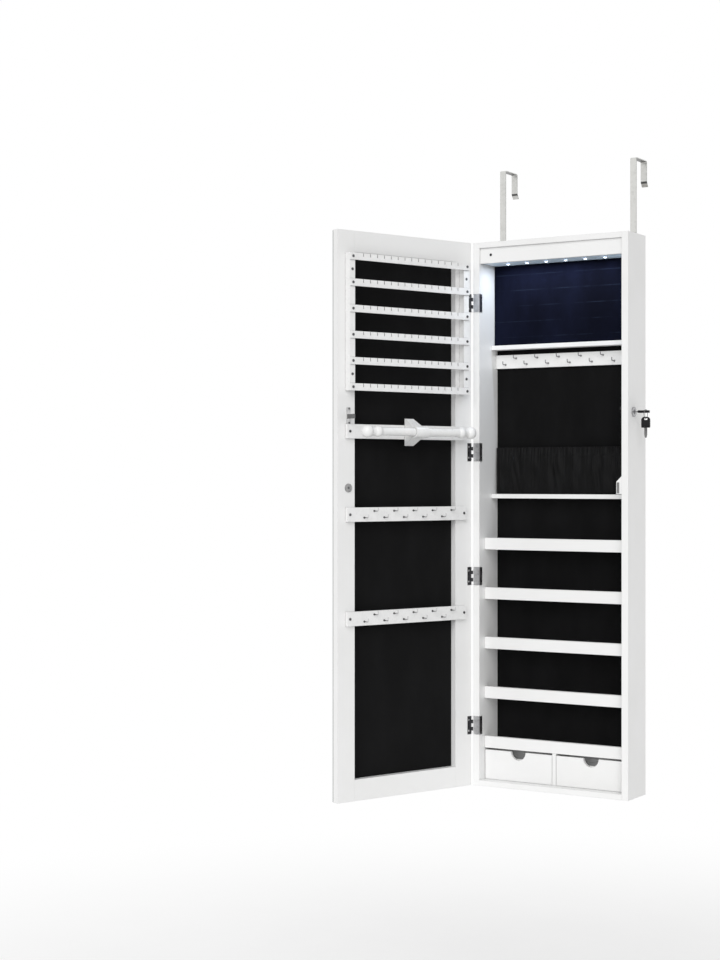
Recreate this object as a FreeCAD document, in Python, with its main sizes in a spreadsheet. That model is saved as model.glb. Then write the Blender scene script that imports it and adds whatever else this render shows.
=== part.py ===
import FreeCAD, Part
import math
import os
import re
import Sketcher

# A wall-hung jewelry cabinet with a mirror door, in millimetres.
# X runs to the right seen from the front, Y to the back, Z up.
# The origin lies on the back plane, at the middle of the underside.
# The door is drawn about its hinge pin and stands open by door_opening.

# Driving dimensions: name, value, meaning.
SIZES = (
    ("width", 370, "outside width of the carcass and the door"),
    ("height", 1200, "height of the carcass and the door"),
    ("depth", 92, "depth of the carcass without the door"),
    ("side_board", 15, "thickness of a side panel"),
    ("deck_board", 12, "thickness of the top and bottom panels"),
    ("back_recess", 2.5, "depth of the recess behind the back board"),
    ("back_sheet", 3, "thickness of the back board"),
    ("lining_sheet", 1.5, "thickness of the velvet-covered lining board"),
    ("soft_gap", 0.3, "air round a cloth piece"),
    # Lamp compartment
    ("fascia_height", 34, "height of the lamp fascia"),
    ("fascia_set_back", 4.5, "fascia face behind the carcass front"),
    ("fascia_board", 8, "thickness of the fascia"),
    ("soffit_board", 6, "thickness of the board that holds the lamps"),
    ("upper_panel_gap", 11, "back of the upper lining panel in front of the back lining"),
    ("upper_panel_sheet", 3, "thickness of the upper lining panel"),
    ("lamp_end", 53.5, "last lamp from the side panel"),
    ("lamp_set_back", 35, "lamp row behind the carcass front"),
    ("lens_radius", 4, "radius of a lamp lens"),
    ("lens_play", 0.2, "air round a lens in its hole"),
    ("lens_drop", 2.4, "lens standing below the soffit"),
    ("lens_round", 2, "rounding of the lens rim"),
    ("strip_width", 14, "width of the lamp circuit board"),
    ("strip_margin", 15, "circuit board beyond the last lamp"),
    ("strip_sheet", 1.6, "thickness of the lamp circuit board"),
    ("sensor_inset", 26, "door sensor from the left side panel"),
    ("sensor_drop", 28, "door sensor below the top of the carcass"),
    ("sensor_radius", 3, "radius of the door sensor lens"),
    ("sensor_proud", 0.8, "sensor lens in front of the fascia"),
    ("sensor_play", 0.1, "air round the sensor in its hole"),
    ("battery_box_length", 52, "length of the battery box"),
    ("battery_box_depth", 26, "depth of the battery box"),
    ("battery_box_height", 24, "height of the battery box"),
    ("battery_box_inset", 110, "battery box's left end from the right side panel"),
    ("hanging_rail_height", 30, "height of the rail that takes the strap screws"),
    # Shelves and racks
    ("shelf_board", 9.5, "thickness of a shelf"),
    ("shelf_set_back", 56, "shelf front behind the carcass front"),
    ("upper_shelf_drop", 234, "underside of the upper shelf below the top"),
    ("middle_shelf_share", 0.529, "underside of the middle shelf as a share of the height"),
    ("rack_level", 81.5, "underside of the lowest rack"),
    ("rack_headroom", 3.3, "more room above the highest rack than above the others"),
    ("rack_set_back", 25, "rack rail face behind the carcass front"),
    ("rack_rail_height", 25.8, "height of a rack rail"),
    ("rack_rail_board", 9, "thickness of a rack rail"),
    ("rack_board", 9, "thickness of a rack board"),
    # Drawers
    ("drawer_set_back", 26, "drawer face behind the carcass front"),
    ("drawer_front_board", 8, "thickness of a drawer front"),
    ("drawer_front_height", 64.5, "height of a drawer front"),
    ("drawer_float", 0.4, "air under a drawer"),
    ("drawer_play", 0.8, "air at each end of a drawer front"),
    ("drawer_box_play", 1.2, "drawer box inside the ends of its front"),
    ("drawer_box_height", 48, "height of a drawer box"),
    ("drawer_wall", 4, "thickness of the drawer box walls and floor"),
    ("drawer_back_gap", 4, "air behind a drawer box"),
    ("divider_board", 9, "thickness of the divider between the drawers"),
    ("finger_radius", 18, "radius of the finger notch in a drawer front"),
    ("felt_sheet", 1.2, "thickness of the drawer felt"),
    ("felt_play", 0.1, "air round the drawer felt"),
    # Necklace rail, hooks and pouch
    ("inner_rail_gap", 11, "necklace hook rail below the upper shelf"),
    ("inner_rail_board", 7, "thickness of the necklace hook rail"),
    ("rail_height", 30, "height of a hook rail"),
    ("inner_hook_end", 24.8, "last necklace hook from the side panel"),
    ("door_hook_end", 44.4, "last hook from the end of a rail on the door"),
    ("hook_row_low", 8.5, "lower hook row above the rail's underside"),
    ("hook_row_high", 22.2, "upper hook row above the rail's underside"),
    ("hook_wire", 1.1, "radius of the hook wire"),
    ("hook_reach", 14, "hook wire's stand-off from the rail"),
    ("hook_rise", 7, "height of the upturned tip"),
    ("hook_bend", 3, "radius of the hook's bend"),
    ("hook_root", 4, "hook's thread inside the rail"),
    ("hook_collar", 2.1, "radius of the hook's collar"),
    ("hook_collar_sheet", 0.8, "thickness of the hook's collar"),
    ("hook_play", 0.02, "air round the hook's thread"),
    ("pouch_height", 103, "height of the cloth pouch"),
    ("pouch_depth", 13, "pouch cloth in front of the lining at its foot"),
    ("pouch_bulge", 3, "pouch cloth further forward at half height"),
    ("pouch_fold", 2.4, "depth of a gather at the elastic edge"),
    ("pouch_cloth", 1.6, "thickness of the hemmed pouch cloth"),
    # Magnetic catch
    ("catch_gap", 1.5, "catch above the middle shelf"),
    ("catch_height", 38, "height of the catch"),
    ("catch_width", 12, "catch's stand-off from the side panel"),
    ("catch_slant", 12, "drop of the catch's slanted top"),
    ("catch_length", 20, "length of the catch"),
    ("magnet_width", 5.5, "width of the magnet"),
    ("magnet_height", 23, "height of the magnet"),
    ("magnet_length", 9, "length of the magnet"),
    ("magnet_wall", 1.2, "catch's wall beside the magnet"),
    ("magnet_play", 0.1, "air round the magnet in the catch"),
    ("catch_air", 0.3, "air between the closed catch plate and the magnet"),
    ("plate_radius", 9, "radius of the catch plate on the door"),
    ("plate_sheet", 1.6, "thickness of the catch plate"),
    ("plate_inset", 28, "catch plate's middle from the door's free edge"),
    # Lock
    ("lock_rise", 27, "lock's axis above the strike's lower end"),
    ("lock_set_back", 28, "lock's axis behind the carcass front"),
    ("barrel_radius", 8, "radius of the lock barrel"),
    ("barrel_play", 0.1, "air round the barrel in the side panel"),
    ("barrel_tail", 1.6, "barrel beyond its nut"),
    ("flange_radius", 10.5, "radius of the lock's outer flange"),
    ("flange_sheet", 2.5, "thickness of the lock's outer flange"),
    ("nut_radius", 10, "radius of the lock nut"),
    ("nut_sheet", 2.4, "thickness of the lock nut"),
    ("plug_radius", 5, "radius of the lock plug"),
    ("running_fit", 0.05, "air round a turning pin or plug"),
    ("stub_size", 6, "square end of the plug that drives the cam"),
    ("cam_gap", 0.3, "air between the barrel and the cam"),
    ("cam_sheet", 2, "thickness of the cam"),
    ("cam_hub", 6, "radius of the cam's hub"),
    ("cam_reach", 22, "cam hook's end from the lock's axis"),
    ("cam_hook_low", 4, "cam hook's near edge from the lock's axis"),
    ("cam_hook_high", 10, "cam hook's far edge from the lock's axis"),
    ("cam_tail", 2, "cam hook behind the lock's axis"),
    ("cam_play", 0.4, "air between the locked cam and the strike's lip"),
    ("stub_play", 0.05, "air between the plug's square end and the cam"),
    # Keys and ring
    ("blade_width", 6, "width of a key blade"),
    ("blade_sheet", 2, "thickness of a key blade"),
    ("blade_length", 21, "free length of a key blade"),
    ("blade_root", 7, "blade moulded into the bow"),
    ("blade_tip", 1.5, "half width of the blade's tip"),
    ("blade_play", 0.1, "air round the blade in the keyway"),
    ("key_neck", 10, "bow's stand-off from the lock's flange"),
    ("bow_length", 23, "length of a key bow"),
    ("bow_width", 18.5, "width of a key bow"),
    ("bow_sheet", 5, "thickness of a key bow"),
    ("bow_shoulder", 2, "rounding at the blade end of a bow"),
    ("bow_crown", 7, "rounding at the ring end of a bow"),
    ("bow_rim", 2.6, "bow beyond its ring slot"),
    ("bow_slot_width", 9.5, "width of the ring slot"),
    ("bow_slot_height", 4, "height of the ring slot"),
    ("bow_slot_round", 1.8, "corner radius of the ring slot"),
    ("ring_radius", 9.5, "radius of the key ring's wire line"),
    ("ring_wire", 0.6, "radius of the key ring's wire"),
    ("ring_play", 0.1, "air between the ring and the bows it holds"),
    # Hanging straps
    ("strap_inset", 12, "strap's middle from the side panel"),
    ("strap_width", 14, "width of a strap"),
    ("strap_sheet", 2, "thickness of a strap"),
    ("strap_rise", 171, "strap above the top of the carcass"),
    ("strap_tail_drop", 36, "strap's lower end below the ceiling"),
    ("strap_span", 54, "room for the house door under a strap's bridge"),
    ("strap_drop", 46, "back leg of a strap below its top"),
    ("strap_bend", 2, "inner radius of a strap's bend"),
    ("lip_length", 12, "length of a strap's flared lip"),
    ("lip_angle", 35, "flare of a strap's lip"),
    ("strap_screw_edge", 8, "screw from the ceiling and from the other screw"),
    # Door and hinges
    ("door_gap", 2, "gap between the closed door and the carcass"),
    ("door_opening", 110, "angle that the door stands open"),
    ("frame_board", 15, "thickness of the door frame"),
    ("frame_width", 45, "width of the door's stiles and rails"),
    ("mirror_sheet", 3, "thickness of the mirror glass"),
    ("mirror_inset", 0.8, "mirror inside the door's outline"),
    ("door_lining_sheet", 1.4, "thickness of the door's lining board"),
    ("door_lining_play", 0.2, "air round the door's lining board"),
    ("pin_offset", 2.7, "hinge pin outside the carcass side"),
    ("pin_radius", 1.2, "radius of a hinge pin"),
    ("knuckle_radius", 2.5, "radius of a hinge knuckle"),
    ("knuckle_play", 0.15, "half the air between two knuckles"),
    ("knuckle_air", 0.3, "air between a leaf and the other leaf's knuckles"),
    ("hinge_length", 40, "length of a hinge"),
    ("hinge_end", 133, "outer hinges from the ends of the door"),
    ("hinge_inner", 463, "inner hinges from the ends of the door"),
    ("leaf_sheet", 0.8, "thickness of a hinge leaf"),
    ("leaf_return", 12, "cabinet leaf along the side panel's inner face"),
    ("leaf_width", 10, "door leaf along the door's inner face"),
    ("leaf_screw_side", 7, "leaf screw from the edge that the leaf starts at"),
    ("leaf_screw_rise", 12, "leaf screw above and below the hinge's middle"),
    # Screws
    ("flat_head", 2.2, "radius of a countersunk head"),
    ("flat_shank", 1.4, "radius of a countersunk screw's shank"),
    ("flat_length", 9, "length of a countersunk screw"),
    ("strap_screw_head", 3.6, "radius of a strap screw's head"),
    ("strap_screw_shank", 1.8, "radius of a strap screw's shank"),
    ("strap_screw_length", 15, "length of a strap screw"),
    ("pan_head", 2.8, "radius of a pan head"),
    ("pan_head_sheet", 1.6, "height of a pan head"),
    ("pan_head_round", 0.8, "rounding of a pan head"),
    ("pan_shank", 1.5, "radius of a pan-head screw's shank"),
    ("pan_grip", 8, "pan-head screw's thread in the wood"),
    ("screw_play", 0.05, "air round a screw in its hole"),
    # Earring rack on the door
    ("fitting_margin", 20, "door fittings from the door's edges"),
    ("fitting_screw", 7, "fitting's screw from its end"),
    ("earring_clear", 2.5, "earring rack below the lamp fascia"),
    ("earring_lift", 43, "earring rack's foot above the lock's axis"),
    ("earring_bar_height", 15, "height of an earring bar"),
    ("earring_bar_sheet", 3, "thickness of an earring bar"),
    ("bracket_width", 14, "width of an earring bracket"),
    ("bracket_depth", 16, "stand-off of an earring bracket"),
    ("bracket_screw_drop", 34.5, "bracket screw from the bracket's end"),
    ("slot_end", 34.1, "last earring slot from the bar's end"),
    ("slot_width", 1.8, "width of an earring slot"),
    ("slot_depth", 7.5, "depth of an earring slot"),
    # Bracelet holder on the door
    ("bracelet_gap", 15.2, "bracelet rail above the pouch"),
    ("door_rail_board", 8, "thickness of the rails on the door"),
    ("bracelet_stand_off", 47, "bracelet bar's axis from the door's inner face"),
    ("bracelet_radius", 8.8, "radius of the bracelet bar"),
    ("bead_radius", 13.5, "radius of the bar's end bead"),
    ("collar_radius", 12.2, "radius of the bead beside it"),
    ("bead_inset", 43, "end bead's middle from the door's edge"),
    ("bead_spacing", 26.5, "spacing of the two beads"),
    ("support_width", 22, "width of the bracelet support's foot"),
    ("support_height", 58, "height of the bracelet support's foot"),
    ("support_foot", 3, "thickness of the bracelet support's foot"),
    ("support_neck", 26, "height of the bracelet support's neck"),
    ("sleeve_radius", 12.6, "radius of the support's sleeve"),
    ("sleeve_length", 34, "length of the support's sleeve"),
    ("sleeve_play", 0.05, "air round the bar in the sleeve"),
    # Hook rails on the door
    ("hook_rail_drop", 17, "upper hook rail below the middle shelf"),
    ("hook_rail_gap", 12.5, "lower hook rail below the rack above it"),
    # Strike plate on the door
    ("strike_gap", 0.2, "strike above the bracelet rail"),
    ("strike_height", 35, "height of the strike's base"),
    ("strike_width", 9, "width of the strike's base"),
    ("strike_sheet", 1.5, "thickness of the strike"),
    ("strike_inset", 25, "strike tab from the door's free edge"),
    ("strike_screw", 2.5, "strike screw from the end of the base"),
    ("strike_screw_side", 4.5, "strike screw from the strike's tab"),
    ("tab_rise", 11, "strike tab above the lower end of the base"),
    ("tab_height", 9.5, "height of the strike's tab"),
)

# Counts
LAMPS = 6
RACKS = 5
EARRING_BARS = 6
EARRING_SLOTS = 15
NECKLACE_HOOKS = 12
RAIL_HOOKS = 10
POUCH_FOLDS = 14
KNUCKLES = 5

# Levels and spacings that follow from the driving dimensions
PLACES = {
    "upper_shelf_level": "height - upper_shelf_drop",
    "middle_shelf_level": "height * middle_shelf_share",
    "rack_pitch": f"(middle_shelf_level - rack_level - rack_headroom) / {RACKS}",
    "inner_rail_level": "upper_shelf_level - inner_rail_gap - rail_height",
    "inner_hook_pitch": f"(width - 2 * side_board - 2 * inner_hook_end) / {NECKLACE_HOOKS - 1}",
    "door_hook_pitch": f"(width - 2 * fitting_margin - 2 * door_hook_end) / {RAIL_HOOKS - 1}",
    "slot_pitch": f"(width - 2 * fitting_margin - 2 * slot_end) / {EARRING_SLOTS - 1}",
    "lamp_pitch": f"(width - 2 * side_board - 2 * lamp_end) / {LAMPS - 1}",
    "sensor_side": "width / 2 - side_board - sensor_inset",
    "battery_box_side": "width / 2 - side_board - battery_box_inset",
    "catch_level": "middle_shelf_level + shelf_board + catch_gap",
    "bracelet_level": "middle_shelf_level + shelf_board + soft_gap + pouch_height + bracelet_gap",
    "strike_level": "bracelet_level + rail_height + strike_gap",
    "lock_height": "strike_level + lock_rise",
    "earring_top": "height - deck_board - fascia_height - earring_clear",
    "earring_foot": "lock_height + earring_lift",
    "earring_pitch": f"(earring_top - earring_bar_height - earring_foot) / {EARRING_BARS - 1}",
    "hook_rail_high": "middle_shelf_level - hook_rail_drop - rail_height",
    "hook_rail_low": f"rack_level + {RACKS - 2} * rack_pitch - hook_rail_gap - rail_height",
    "strap_side": "width / 2 - side_board - strap_inset",
    "strap_top": "height + strap_rise",
    "strap_tail": "height - deck_board - strap_tail_drop",
}

# Places that several pieces share
INNER = "(width / 2 - side_board)"
CEILING = "(height - deck_board)"
BOARD_FACE = "(-back_recess - back_sheet)"
LINING_FACE = f"({BOARD_FACE} - lining_sheet)"
FASCIA_FOOT = f"({CEILING} - fascia_height)"
FASCIA_BACK = "(-depth + fascia_set_back + fascia_board)"
UPPER_BACK = f"({LINING_FACE} - upper_panel_gap)"
UPPER_FACE = f"({UPPER_BACK} - upper_panel_sheet)"
LAMP_LINE = "(-depth + lamp_set_back)"
RACK_BACK = "(-depth + rack_set_back + rack_rail_board)"
DRAWER_FACE = "(-depth + drawer_set_back)"
DRAWER_FOOT = "(deck_board + drawer_float)"
LOCK_LINE = "(-depth + lock_set_back)"
RIM = "((bow_width - bow_slot_width) / 4)"
RING_HOLE = "(ring_radius - ring_wire)"
RING_DROP = f"({RING_HOLE} - ring_play - sqrt({RIM} * {RIM} + bow_sheet * bow_sheet / 4))"
RING_FLOOR = f"sqrt({RING_HOLE} * {RING_HOLE} - bow_sheet * bow_sheet / 4)"
BOW_DROP = f"({RING_DROP} + {RING_FLOOR} - ring_play / 2 - bow_rim)"
PIN_X = "(-width / 2 - pin_offset)"
PIN_Y = "(-depth - door_gap / 2)"

# Places on the door, measured from its hinge pin
DOOR_FACE = "(-door_gap / 2)"
FRAME_BACK = f"({DOOR_FACE} - frame_board)"
FREE_EDGE = "(pin_offset + width)"
FITTING_START = "(pin_offset + fitting_margin)"
FITTING_END = f"({FREE_EDGE} - fitting_margin)"
FITTING_SCREWS = (f"{FITTING_START} + fitting_screw", f"{FITTING_END} - fitting_screw")
DOOR_MIDDLE = "(pin_offset + width / 2)"
RACK_FOOT = f"(earring_top - {EARRING_BARS - 1} * earring_pitch - earring_bar_height)"
BRACKET_FACE = f"({DOOR_FACE} + bracket_depth)"
RAIL_FACE = f"({DOOR_FACE} + door_rail_board)"
STRIKE_TAB = f"({FREE_EDGE} - strike_inset)"
PLATE_PLACE = f"({FREE_EDGE} - plate_inset)"
PLATE_HEIGHT = "(catch_level + (catch_height - catch_slant) / 2)"
BRACKET_SCREWS = ("earring_top - bracket_screw_drop", f"{RACK_FOOT} + bracket_screw_drop")
RAIL_SCREW_LEVELS = (
    "bracelet_level + rail_height / 2",
    "hook_rail_high + rail_height / 2",
    "hook_rail_low + rail_height / 2",
)
STRIKE_SCREWS = ("strike_level + strike_screw", "strike_level + strike_height - strike_screw")
HINGES = ("hinge_end", "hinge_inner", "height - hinge_inner", "height - hinge_end")
LEAF_SCREWS = ("-leaf_screw_rise", "leaf_screw_rise")

NAMES = {name for name, size, meaning in SIZES}
PLANES = {"top": "XY_Plane", "front": "XZ_Plane", "side": "YZ_Plane"}
ROTATIONS = {
    "X": FreeCAD.Rotation(FreeCAD.Vector(0, 1, 0), 90),
    "Y": FreeCAD.Rotation(FreeCAD.Vector(1, 0, 0), -90),
    "Z": FreeCAD.Rotation(),
}
UPRIGHT = FreeCAD.Vector(0, 0, 1)

doc = FreeCAD.newDocument("jewelry_cabinet")
sheet = doc.addObject("Spreadsheet::Sheet", "dims")
for row, (name, size, meaning) in enumerate(SIZES, start=1):
    sheet.set(f"A{row}", meaning)
    sheet.set(f"B{row}", str(size))
    sheet.setAlias(f"B{row}", name)
doc.recompute()

nodes = []
pockets = []


def bound(text):
    """An expression whose size names are read from the sheet."""
    return re.sub(r"[a-z][a-z_]*", lambda word: prefixed(word.group()), str(text))


def prefixed(word):
    """A size's name with the sheet's name before it, or a place's own expression; other words stay."""
    if word in PLACES:
        return f"({bound(PLACES[word])})"
    return f"dims.{word}" if word in NAMES else word


def value(text):
    """The present value of an expression."""
    return float(sheet.evalExpression(bound(text)))


def node(item, label):
    """Name a finished piece, which is written to a file of that name."""
    item.Label = label
    nodes.append(item)
    return item


def place(item, x, y, z):
    """Bind an item's position."""
    for axis, text in zip("xyz", (x, y, z)):
        item.setExpression(f"Placement.Base.{axis}", bound(text))
    return item


def hang(item, along=0, out=0, up=0):
    """Place an item on the open door, measured from the hinge pin."""
    x = f"{PIN_X} + ({along}) * cos(door_opening) + ({out}) * sin(door_opening)"
    y = f"{PIN_Y} - ({along}) * sin(door_opening) + ({out}) * cos(door_opening)"
    item.setExpression("Placement.Rotation.Angle", bound("-door_opening"))
    return place(item, x, y, up)


def block(name, x, y, z):
    """A box between the low and high places given for each axis."""
    item = doc.addObject("Part::Box", name)
    for prop, (low, high) in zip(("Length", "Width", "Height"), (x, y, z)):
        item.setExpression(prop, bound(f"({high}) - ({low})"))
    return place(item, x[0], y[0], z[0])


def board(label, x, y, z):
    """A plain board of the cabinet."""
    return node(block(label, x, y, z), label)


def door_board(label, along, out, up):
    """A plain board of the door."""
    item = block(label, along, out, up)
    return node(hang(item, along[0], out[0], up[0]), label)


def rod(name, axis, x, y, z, length, radius):
    """A cylinder that starts at a point and runs along an axis."""
    item = doc.addObject("Part::Cylinder", name)
    item.Placement = FreeCAD.Placement(FreeCAD.Vector(), ROTATIONS[axis])
    item.setExpression("Radius", bound(radius))
    item.setExpression("Height", bound(length))
    return place(item, x, y, z)


def taper(name, axis, x, y, z, length, start, end):
    """A cone that starts at a point and runs along an axis."""
    item = doc.addObject("Part::Cone", name)
    item.Placement = FreeCAD.Placement(FreeCAD.Vector(), ROTATIONS[axis])
    for prop, text in (("Radius1", start), ("Radius2", end), ("Height", length)):
        item.setExpression(prop, bound(text))
    return place(item, x, y, z)


def joined(name, items):
    """Several solids made one."""
    item = doc.addObject("Part::MultiFuse", name)
    item.Shapes = items
    return item


def without(name, base, tools):
    """A solid with others cut out of it."""
    item = doc.addObject("Part::Cut", name)
    item.Base = base
    item.Tool = tools[0] if len(tools) == 1 else joined(f"{name}_tools", tools)
    return item


def copies(name, original, places):
    """Linked copies of one piece at several places."""
    found = []
    for index, (x, y, z) in enumerate(places):
        item = doc.addObject("App::Link", f"{name}_{index}")
        item.LinkedObject = original
        found.append(place(item, x, y, z))
    return found


def group(label, items):
    """Separate solids that share one node."""
    item = doc.addObject("Part::Compound", label)
    item.Links = items
    return node(item, label)


def sketch_on(body, plane, level):
    """A sketch on one of the body's own planes, moved along that plane's axis."""
    sketch = body.newObject("Sketcher::SketchObject", f"{body.Name}_sketch")
    planes = {item.Role: item for item in body.Origin.OriginFeatures}
    sketch.AttachmentSupport = (planes[PLANES[plane]], [""])
    sketch.MapMode = "FlatFace"
    offset = f"-({level})" if plane == "front" else level
    sketch.setExpression("AttachmentOffset.Base.z", bound(offset))
    return sketch


def toward(start, end):
    """The direction, -1, 0 or 1, from one place to another."""
    step = value(end) - value(start)
    return 0 if abs(step) < 1e-9 else int(math.copysign(1, step))


def rounded(corners):
    """Replace each corner that has a radius by the two ends of its arc."""
    found = []
    for index, corner in enumerate(corners):
        if len(corner) == 2:
            found.append((*corner, None))
            continue
        x, y, radius = corner
        after = corners[(index + 1) % len(corners)]
        for neighbour, arc in ((corners[index - 1], None), (after, radius)):
            across = f"({x}) + {toward(x, neighbour[0])} * ({radius})"
            along = f"({y}) + {toward(y, neighbour[1])} * ({radius})"
            found.append((across, along, arc))
    return found


def corner_arc(start, end, radius, before):
    """A quarter arc from start to end that leaves along the line before, and whether it runs anticlockwise."""
    heading = (start - before).normalize()
    side = end - start
    left = heading.x * side.y - heading.y * side.x > 0
    normal = FreeCAD.Vector(-heading.y, heading.x, 0) * (1 if left else -1)
    centre = start + normal * radius
    first, last = (start, end) if left else (end, start)
    angles = [math.atan2(point.y - centre.y, point.x - centre.x) for point in (first, last)]
    if angles[1] < angles[0]:
        angles[1] += 2 * math.pi
    return Part.ArcOfCircle(Part.Circle(centre, UPRIGHT, radius), *angles), left


def bead_arc(start, end, radius, before):
    """An arc over a bead whose middle lies on the sketch's long axis; it runs clockwise."""
    middle = (start + end) / 2
    across = (end - start) / 2
    drop = math.sqrt(radius ** 2 - across.Length ** 2)
    side = FreeCAD.Vector(across.y, -across.x, 0).normalize()
    centre = min((middle + side * drop, middle - side * drop), key=lambda point: abs(point.y))
    angles = [math.atan2(point.y - centre.y, point.x - centre.x) for point in (end, start)]
    if angles[1] < angles[0]:
        angles[1] += 2 * math.pi
    return Part.ArcOfCircle(Part.Circle(centre, UPRIGHT, radius), *angles), False


def outline(sketch, corners):
    """A closed outline of straight sides; a corner's third value rounds it."""
    trace(sketch, rounded(corners), corner_arc)


def trace(sketch, ends, arc_between):
    """A closed run of sides; a point's third value makes the side that ends there an arc of that radius."""
    points = [FreeCAD.Vector(value(x), value(y), 0) for x, y, arc in ends]
    first = sketch.GeometryCount
    sides = []
    limits = []
    for index, start in enumerate(points):
        after = (index + 1) % len(points)
        radius = ends[after][2]
        if radius is None:
            sides.append(Part.LineSegment(start, points[after]))
            limits.append((1, 2))
        else:
            side, left = arc_between(start, points[after], value(radius), points[index - 1])
            sides.append(side)
            limits.append((1, 2) if left else (2, 1))
    sketch.addGeometry(sides, False)
    for index, (x, y, arc) in enumerate(ends):
        own = first + index
        after = (index + 1) % len(points)
        joint = Sketcher.Constraint("Coincident", own, limits[index][1], first + after, limits[after][0])
        sketch.addConstraint(joint)
        for kind, text, size in (("DistanceX", x, points[index].x), ("DistanceY", y, points[index].y)):
            bind(sketch, Sketcher.Constraint(kind, -1, 1, own, limits[index][0], size), text)
        radius = ends[after][2]
        if radius is not None:
            bind(sketch, Sketcher.Constraint("Radius", own, value(radius)), radius)


def circle(sketch, x, y, radius):
    """A circle with its middle and radius bound."""
    centre = FreeCAD.Vector(value(x), value(y), 0)
    own = sketch.addGeometry(Part.Circle(centre, UPRIGHT, value(radius)), False)
    bind(sketch, Sketcher.Constraint("Radius", own, value(radius)), radius)
    bind(sketch, Sketcher.Constraint("DistanceX", -1, 1, own, 3, centre.x), x)
    bind(sketch, Sketcher.Constraint("DistanceY", -1, 1, own, 3, centre.y), y)


def bind(sketch, constraint, text):
    """Add a constraint whose size comes from the sheet."""
    index = sketch.addConstraint(constraint)
    sketch.setExpression(f"Constraints[{index}]", bound(text))


def prism(label, plane, corners, low, high):
    """A body: an outline carried from the low to the high place along its plane's axis."""
    body = doc.addObject("PartDesign::Body", label)
    sketch = sketch_on(body, plane, high if plane == "front" else low)
    outline(sketch, corners)
    pad = body.newObject("PartDesign::Pad", f"{label}_pad")
    pad.Profile = sketch
    pad.setExpression("Length", bound(f"({high}) - ({low})"))
    return body


def pocket(body, sketch, low, high):
    """Cut a sketch into a body from the low to the high place."""
    before = body.Tip
    cut = body.newObject("PartDesign::Pocket", f"{body.Name}_pocket")
    cut.Profile = sketch
    cut.setExpression("Length", bound(f"({high}) - ({low})"))
    pockets.append((before, cut))
    return body


def cut_out(body, plane, corners, low, high):
    """Cut an outline into a body."""
    sketch = sketch_on(body, plane, low if plane == "front" else high)
    outline(sketch, corners)
    return pocket(body, sketch, low, high)


def drill(body, plane, circles, low, high):
    """Cut round holes into a body."""
    sketch = sketch_on(body, plane, low if plane == "front" else high)
    for x, y, radius in circles:
        circle(sketch, x, y, radius)
    return pocket(body, sketch, low, high)


def turned(label, axis, profile):
    """A body of revolution; the profile's corners are (along the axis, radius)."""
    body = doc.addObject("PartDesign::Body", label)
    along_first = axis == "X"
    sketch = sketch_on(body, "front" if axis == "Z" else "top", 0)
    outline(sketch, [(c[0], c[1], *c[2:]) if along_first else (c[1], c[0], *c[2:]) for c in profile])
    spin = body.newObject("PartDesign::Revolution", f"{label}_spin")
    spin.Profile = sketch
    spin.ReferenceAxis = (sketch, ["H_Axis" if along_first else "V_Axis"])
    spin.Angle = 360
    return body


def rectangle(x, y):
    """The corners of a rectangle between low and high places."""
    return [(x[0], y[0]), (x[1], y[0]), (x[1], y[1]), (x[0], y[1])]


def carcass():
    """Side, top and bottom panels, the back board and its lining."""
    whole_depth = ("-depth", "0")
    inside = (f"-{INNER}", INNER)
    left = prism(
        "left_side", "front", rectangle(("-width / 2", f"-{INNER}"), ("0", "height")), *whole_depth
    )
    leaf_holes = [
        ("-depth + leaf_screw_side", f"({level}) + ({rise})", "flat_shank + screw_play")
        for level in HINGES
        for rise in LEAF_SCREWS
    ]
    drill(left, "side", leaf_holes, f"-{INNER} - flat_length", f"-{INNER}")
    node(left, "left_side_panel")
    right = prism(
        "right_side", "front", rectangle((INNER, "width / 2"), ("0", "height")), *whole_depth
    )
    lock_hole = [(LOCK_LINE, "lock_height", "barrel_radius + barrel_play")]
    drill(right, "side", lock_hole, INNER, "width / 2")
    node(right, "right_side_panel")
    board("top_panel", inside, ("-depth", "-back_recess"), (CEILING, "height"))
    board("bottom_panel", inside, whole_depth, ("0", "deck_board"))
    sheets = (
        ("back_board", BOARD_FACE, "-back_recess"),
        ("back_lining", LINING_FACE, BOARD_FACE),
    )
    for label, low, high in sheets:
        sheet_body = prism(label, "front", rectangle(inside, ("deck_board", CEILING)), low, high)
        drill(sheet_body, "front", strap_holes(), low, high)
        node(sheet_body, label)


def strap_screw_places():
    """The strap screws' places across and up."""
    return [
        (f"{side} * strap_side", f"{CEILING} - {step} * strap_screw_edge")
        for side in (-1, 1)
        for step in (1, 2)
    ]


def strap_holes():
    """The holes for the strap screws."""
    return [(x, z, "strap_screw_shank + screw_play") for x, z in strap_screw_places()]


def shelves():
    """The two shelves, the racks and the divider between the drawers."""
    inside = (f"-{INNER}", INNER)
    for label, level in (("upper_shelf", "upper_shelf_level"), ("middle_shelf", "middle_shelf_level")):
        board(label, inside, ("-depth + shelf_set_back", LINING_FACE), (level, f"{level} + shelf_board"))
    rails = []
    boards = []
    for index in range(RACKS):
        level = f"rack_level + {index} * rack_pitch"
        front = ("-depth + rack_set_back", RACK_BACK)
        rails.append(block("rack_rail", inside, front, (level, f"{level} + rack_rail_height")))
        rack_rise = (level, f"{level} + rack_board")
        boards.append(block("rack_floor", inside, (RACK_BACK, LINING_FACE), rack_rise))
    group("rack_rails", rails)
    group("rack_boards", boards)
    half = "divider_board / 2"
    board("drawer_divider", (f"-{half}", half), (DRAWER_FACE, LINING_FACE), ("deck_board", "rack_level"))


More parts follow.
